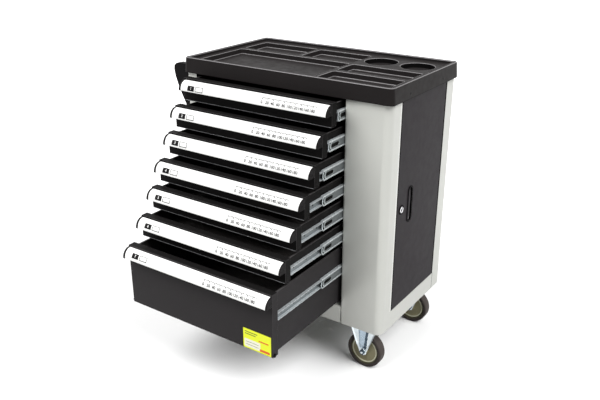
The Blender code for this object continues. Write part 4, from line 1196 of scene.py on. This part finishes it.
def tyre_tree():
    """A tree for a tread: a rounded section carried round the wheel's circle."""
    tree, size = start_tree(
        "tyre",
        Radius=(wheel_radius + tread_base) / 2,
        Width=32.0,
        Height=wheel_radius - tread_base,
        Fillet=4.0,
    )
    path = output(tree, "GeometryNodeCurvePrimitiveCircle", Resolution=96, Radius=size["Radius"])
    sides = {"Width": size["Height"], "Height": size["Width"]}
    section = output(tree, "GeometryNodeCurvePrimitiveQuadrilateral", **sides)
    corner = {"Count": 5, "Radius": size["Fillet"], "settings": {"mode": "POLY"}}
    rounding = output(tree, "GeometryNodeFilletCurve", section, **corner)
    return end_tree(tree, output(tree, "GeometryNodeCurveToMesh", path, Profile_Curve=rounding), tread_rubber)


def spoke_tree():
    """A tree for flat spokes that stand out from a hub's face, spread evenly round it."""
    tree, size = start_tree("spokes", Count=10, Inner_Radius=14.0, Outer_Radius=41.0, Width=3.0, Height=0.9)
    reach = (size["Outer Radius"], size["Inner Radius"])
    halfway = maths(tree, "MULTIPLY", maths(tree, "ADD", *reach), 0.5)
    spots = output(tree, "GeometryNodeMeshCircle", Vertices=size["Count"], Radius=halfway)
    length = maths(tree, "SUBTRACT", *reach)
    block = xyz(tree, length, size["Width"], size["Height"])
    outwards = output(
        tree,
        "FunctionNodeAlignRotationToVector",
        Vector=output(tree, "GeometryNodeInputPosition"),
        settings={"axis": "X"},
    )
    spoke = {"Instance": output(tree, "GeometryNodeMeshCube", block), "Rotation": outwards}
    return end_tree(tree, output(tree, "GeometryNodeInstanceOnPoints", spots, **spoke), olive)


half_profile = [
    (bore, boss_half),
    (boss_radius - 1, boss_half),
    (boss_radius, boss_half - 1),
    (boss_radius + 1, hub_face + 1),
    (boss_radius + 3, hub_face),
    (ring_radius - ring_half - 0.4, hub_face),
    (ring_radius - ring_half, hub_face + ring_proud),
    (ring_radius + ring_half, hub_face + ring_proud),
    (ring_radius + ring_half + 0.6, hub_face - 1),
    (hub_radius - 1.6, hub_face - 1),
    (hub_radius - 1.2, hub_half - 0.6),
    (hub_radius - 0.6, hub_half),
    (hub_radius, hub_half),
]
hub_profile = half_profile + [(radius, -along) for radius, along in reversed(half_profile)]


def turned_hub(shape, x, y, z):
    """A hub turned about its axle, its raised ring in a pale olive as a painted highlight and what lies
    outside the ring in a darker olive.
    """
    rings = [
        put_ring(shape, circle((x, z), radius, hub_steps), y + along, "y") for radius, along in hub_profile
    ]
    bands = {}
    for level, ((one, _), (other, _)) in enumerate(zip(hub_profile, hub_profile[1:] + hub_profile[:1])):
        beyond = (one + other) / 2 - ring_radius
        on_ring = abs(beyond) < ring_half + 0.3
        bands[level] = 1 if on_ring else 2 * int(beyond > 0)
    bridge(shape, [*rings, rings[0]], bands)


tyre, spokes = tyre_tree(), spoke_tree()
for row in ("front", "rear"):
    for side in ("left", "right"):
        node, body = f"castor_{row}_{side}", f"wheel_{row}_{side}"
        low, high = extent(node + "_tyre")
        x, y, z = middle(node + "_tyre")
        hub = bmesh.new()
        turned_hub(hub, x, y, z)
        finishes = [olive, olive_ring_highlight, olive_deep]
        settle(node + "_hub_turned", hub, finishes, body, "olive_plastic", node + "_hub", sharp=40)
        for face_side, face_name in ((-1, "front"), (1, "rear")):
            start = facing((x, y + face_side * hub_face, z), (1, 0, 0), (0, face_side, 0))
            grow(f"{node}_spokes_{face_name}", spokes, {}, start, body, "olive_plastic")
        tread = {"Width": high.y - low.y}
        start = facing((x, y, z), (1, 0, 0), (0, 1, 0))
        grow(node + "_tread", tyre, tread, start, body, "rubber", node + "_tyre", sharp=60)
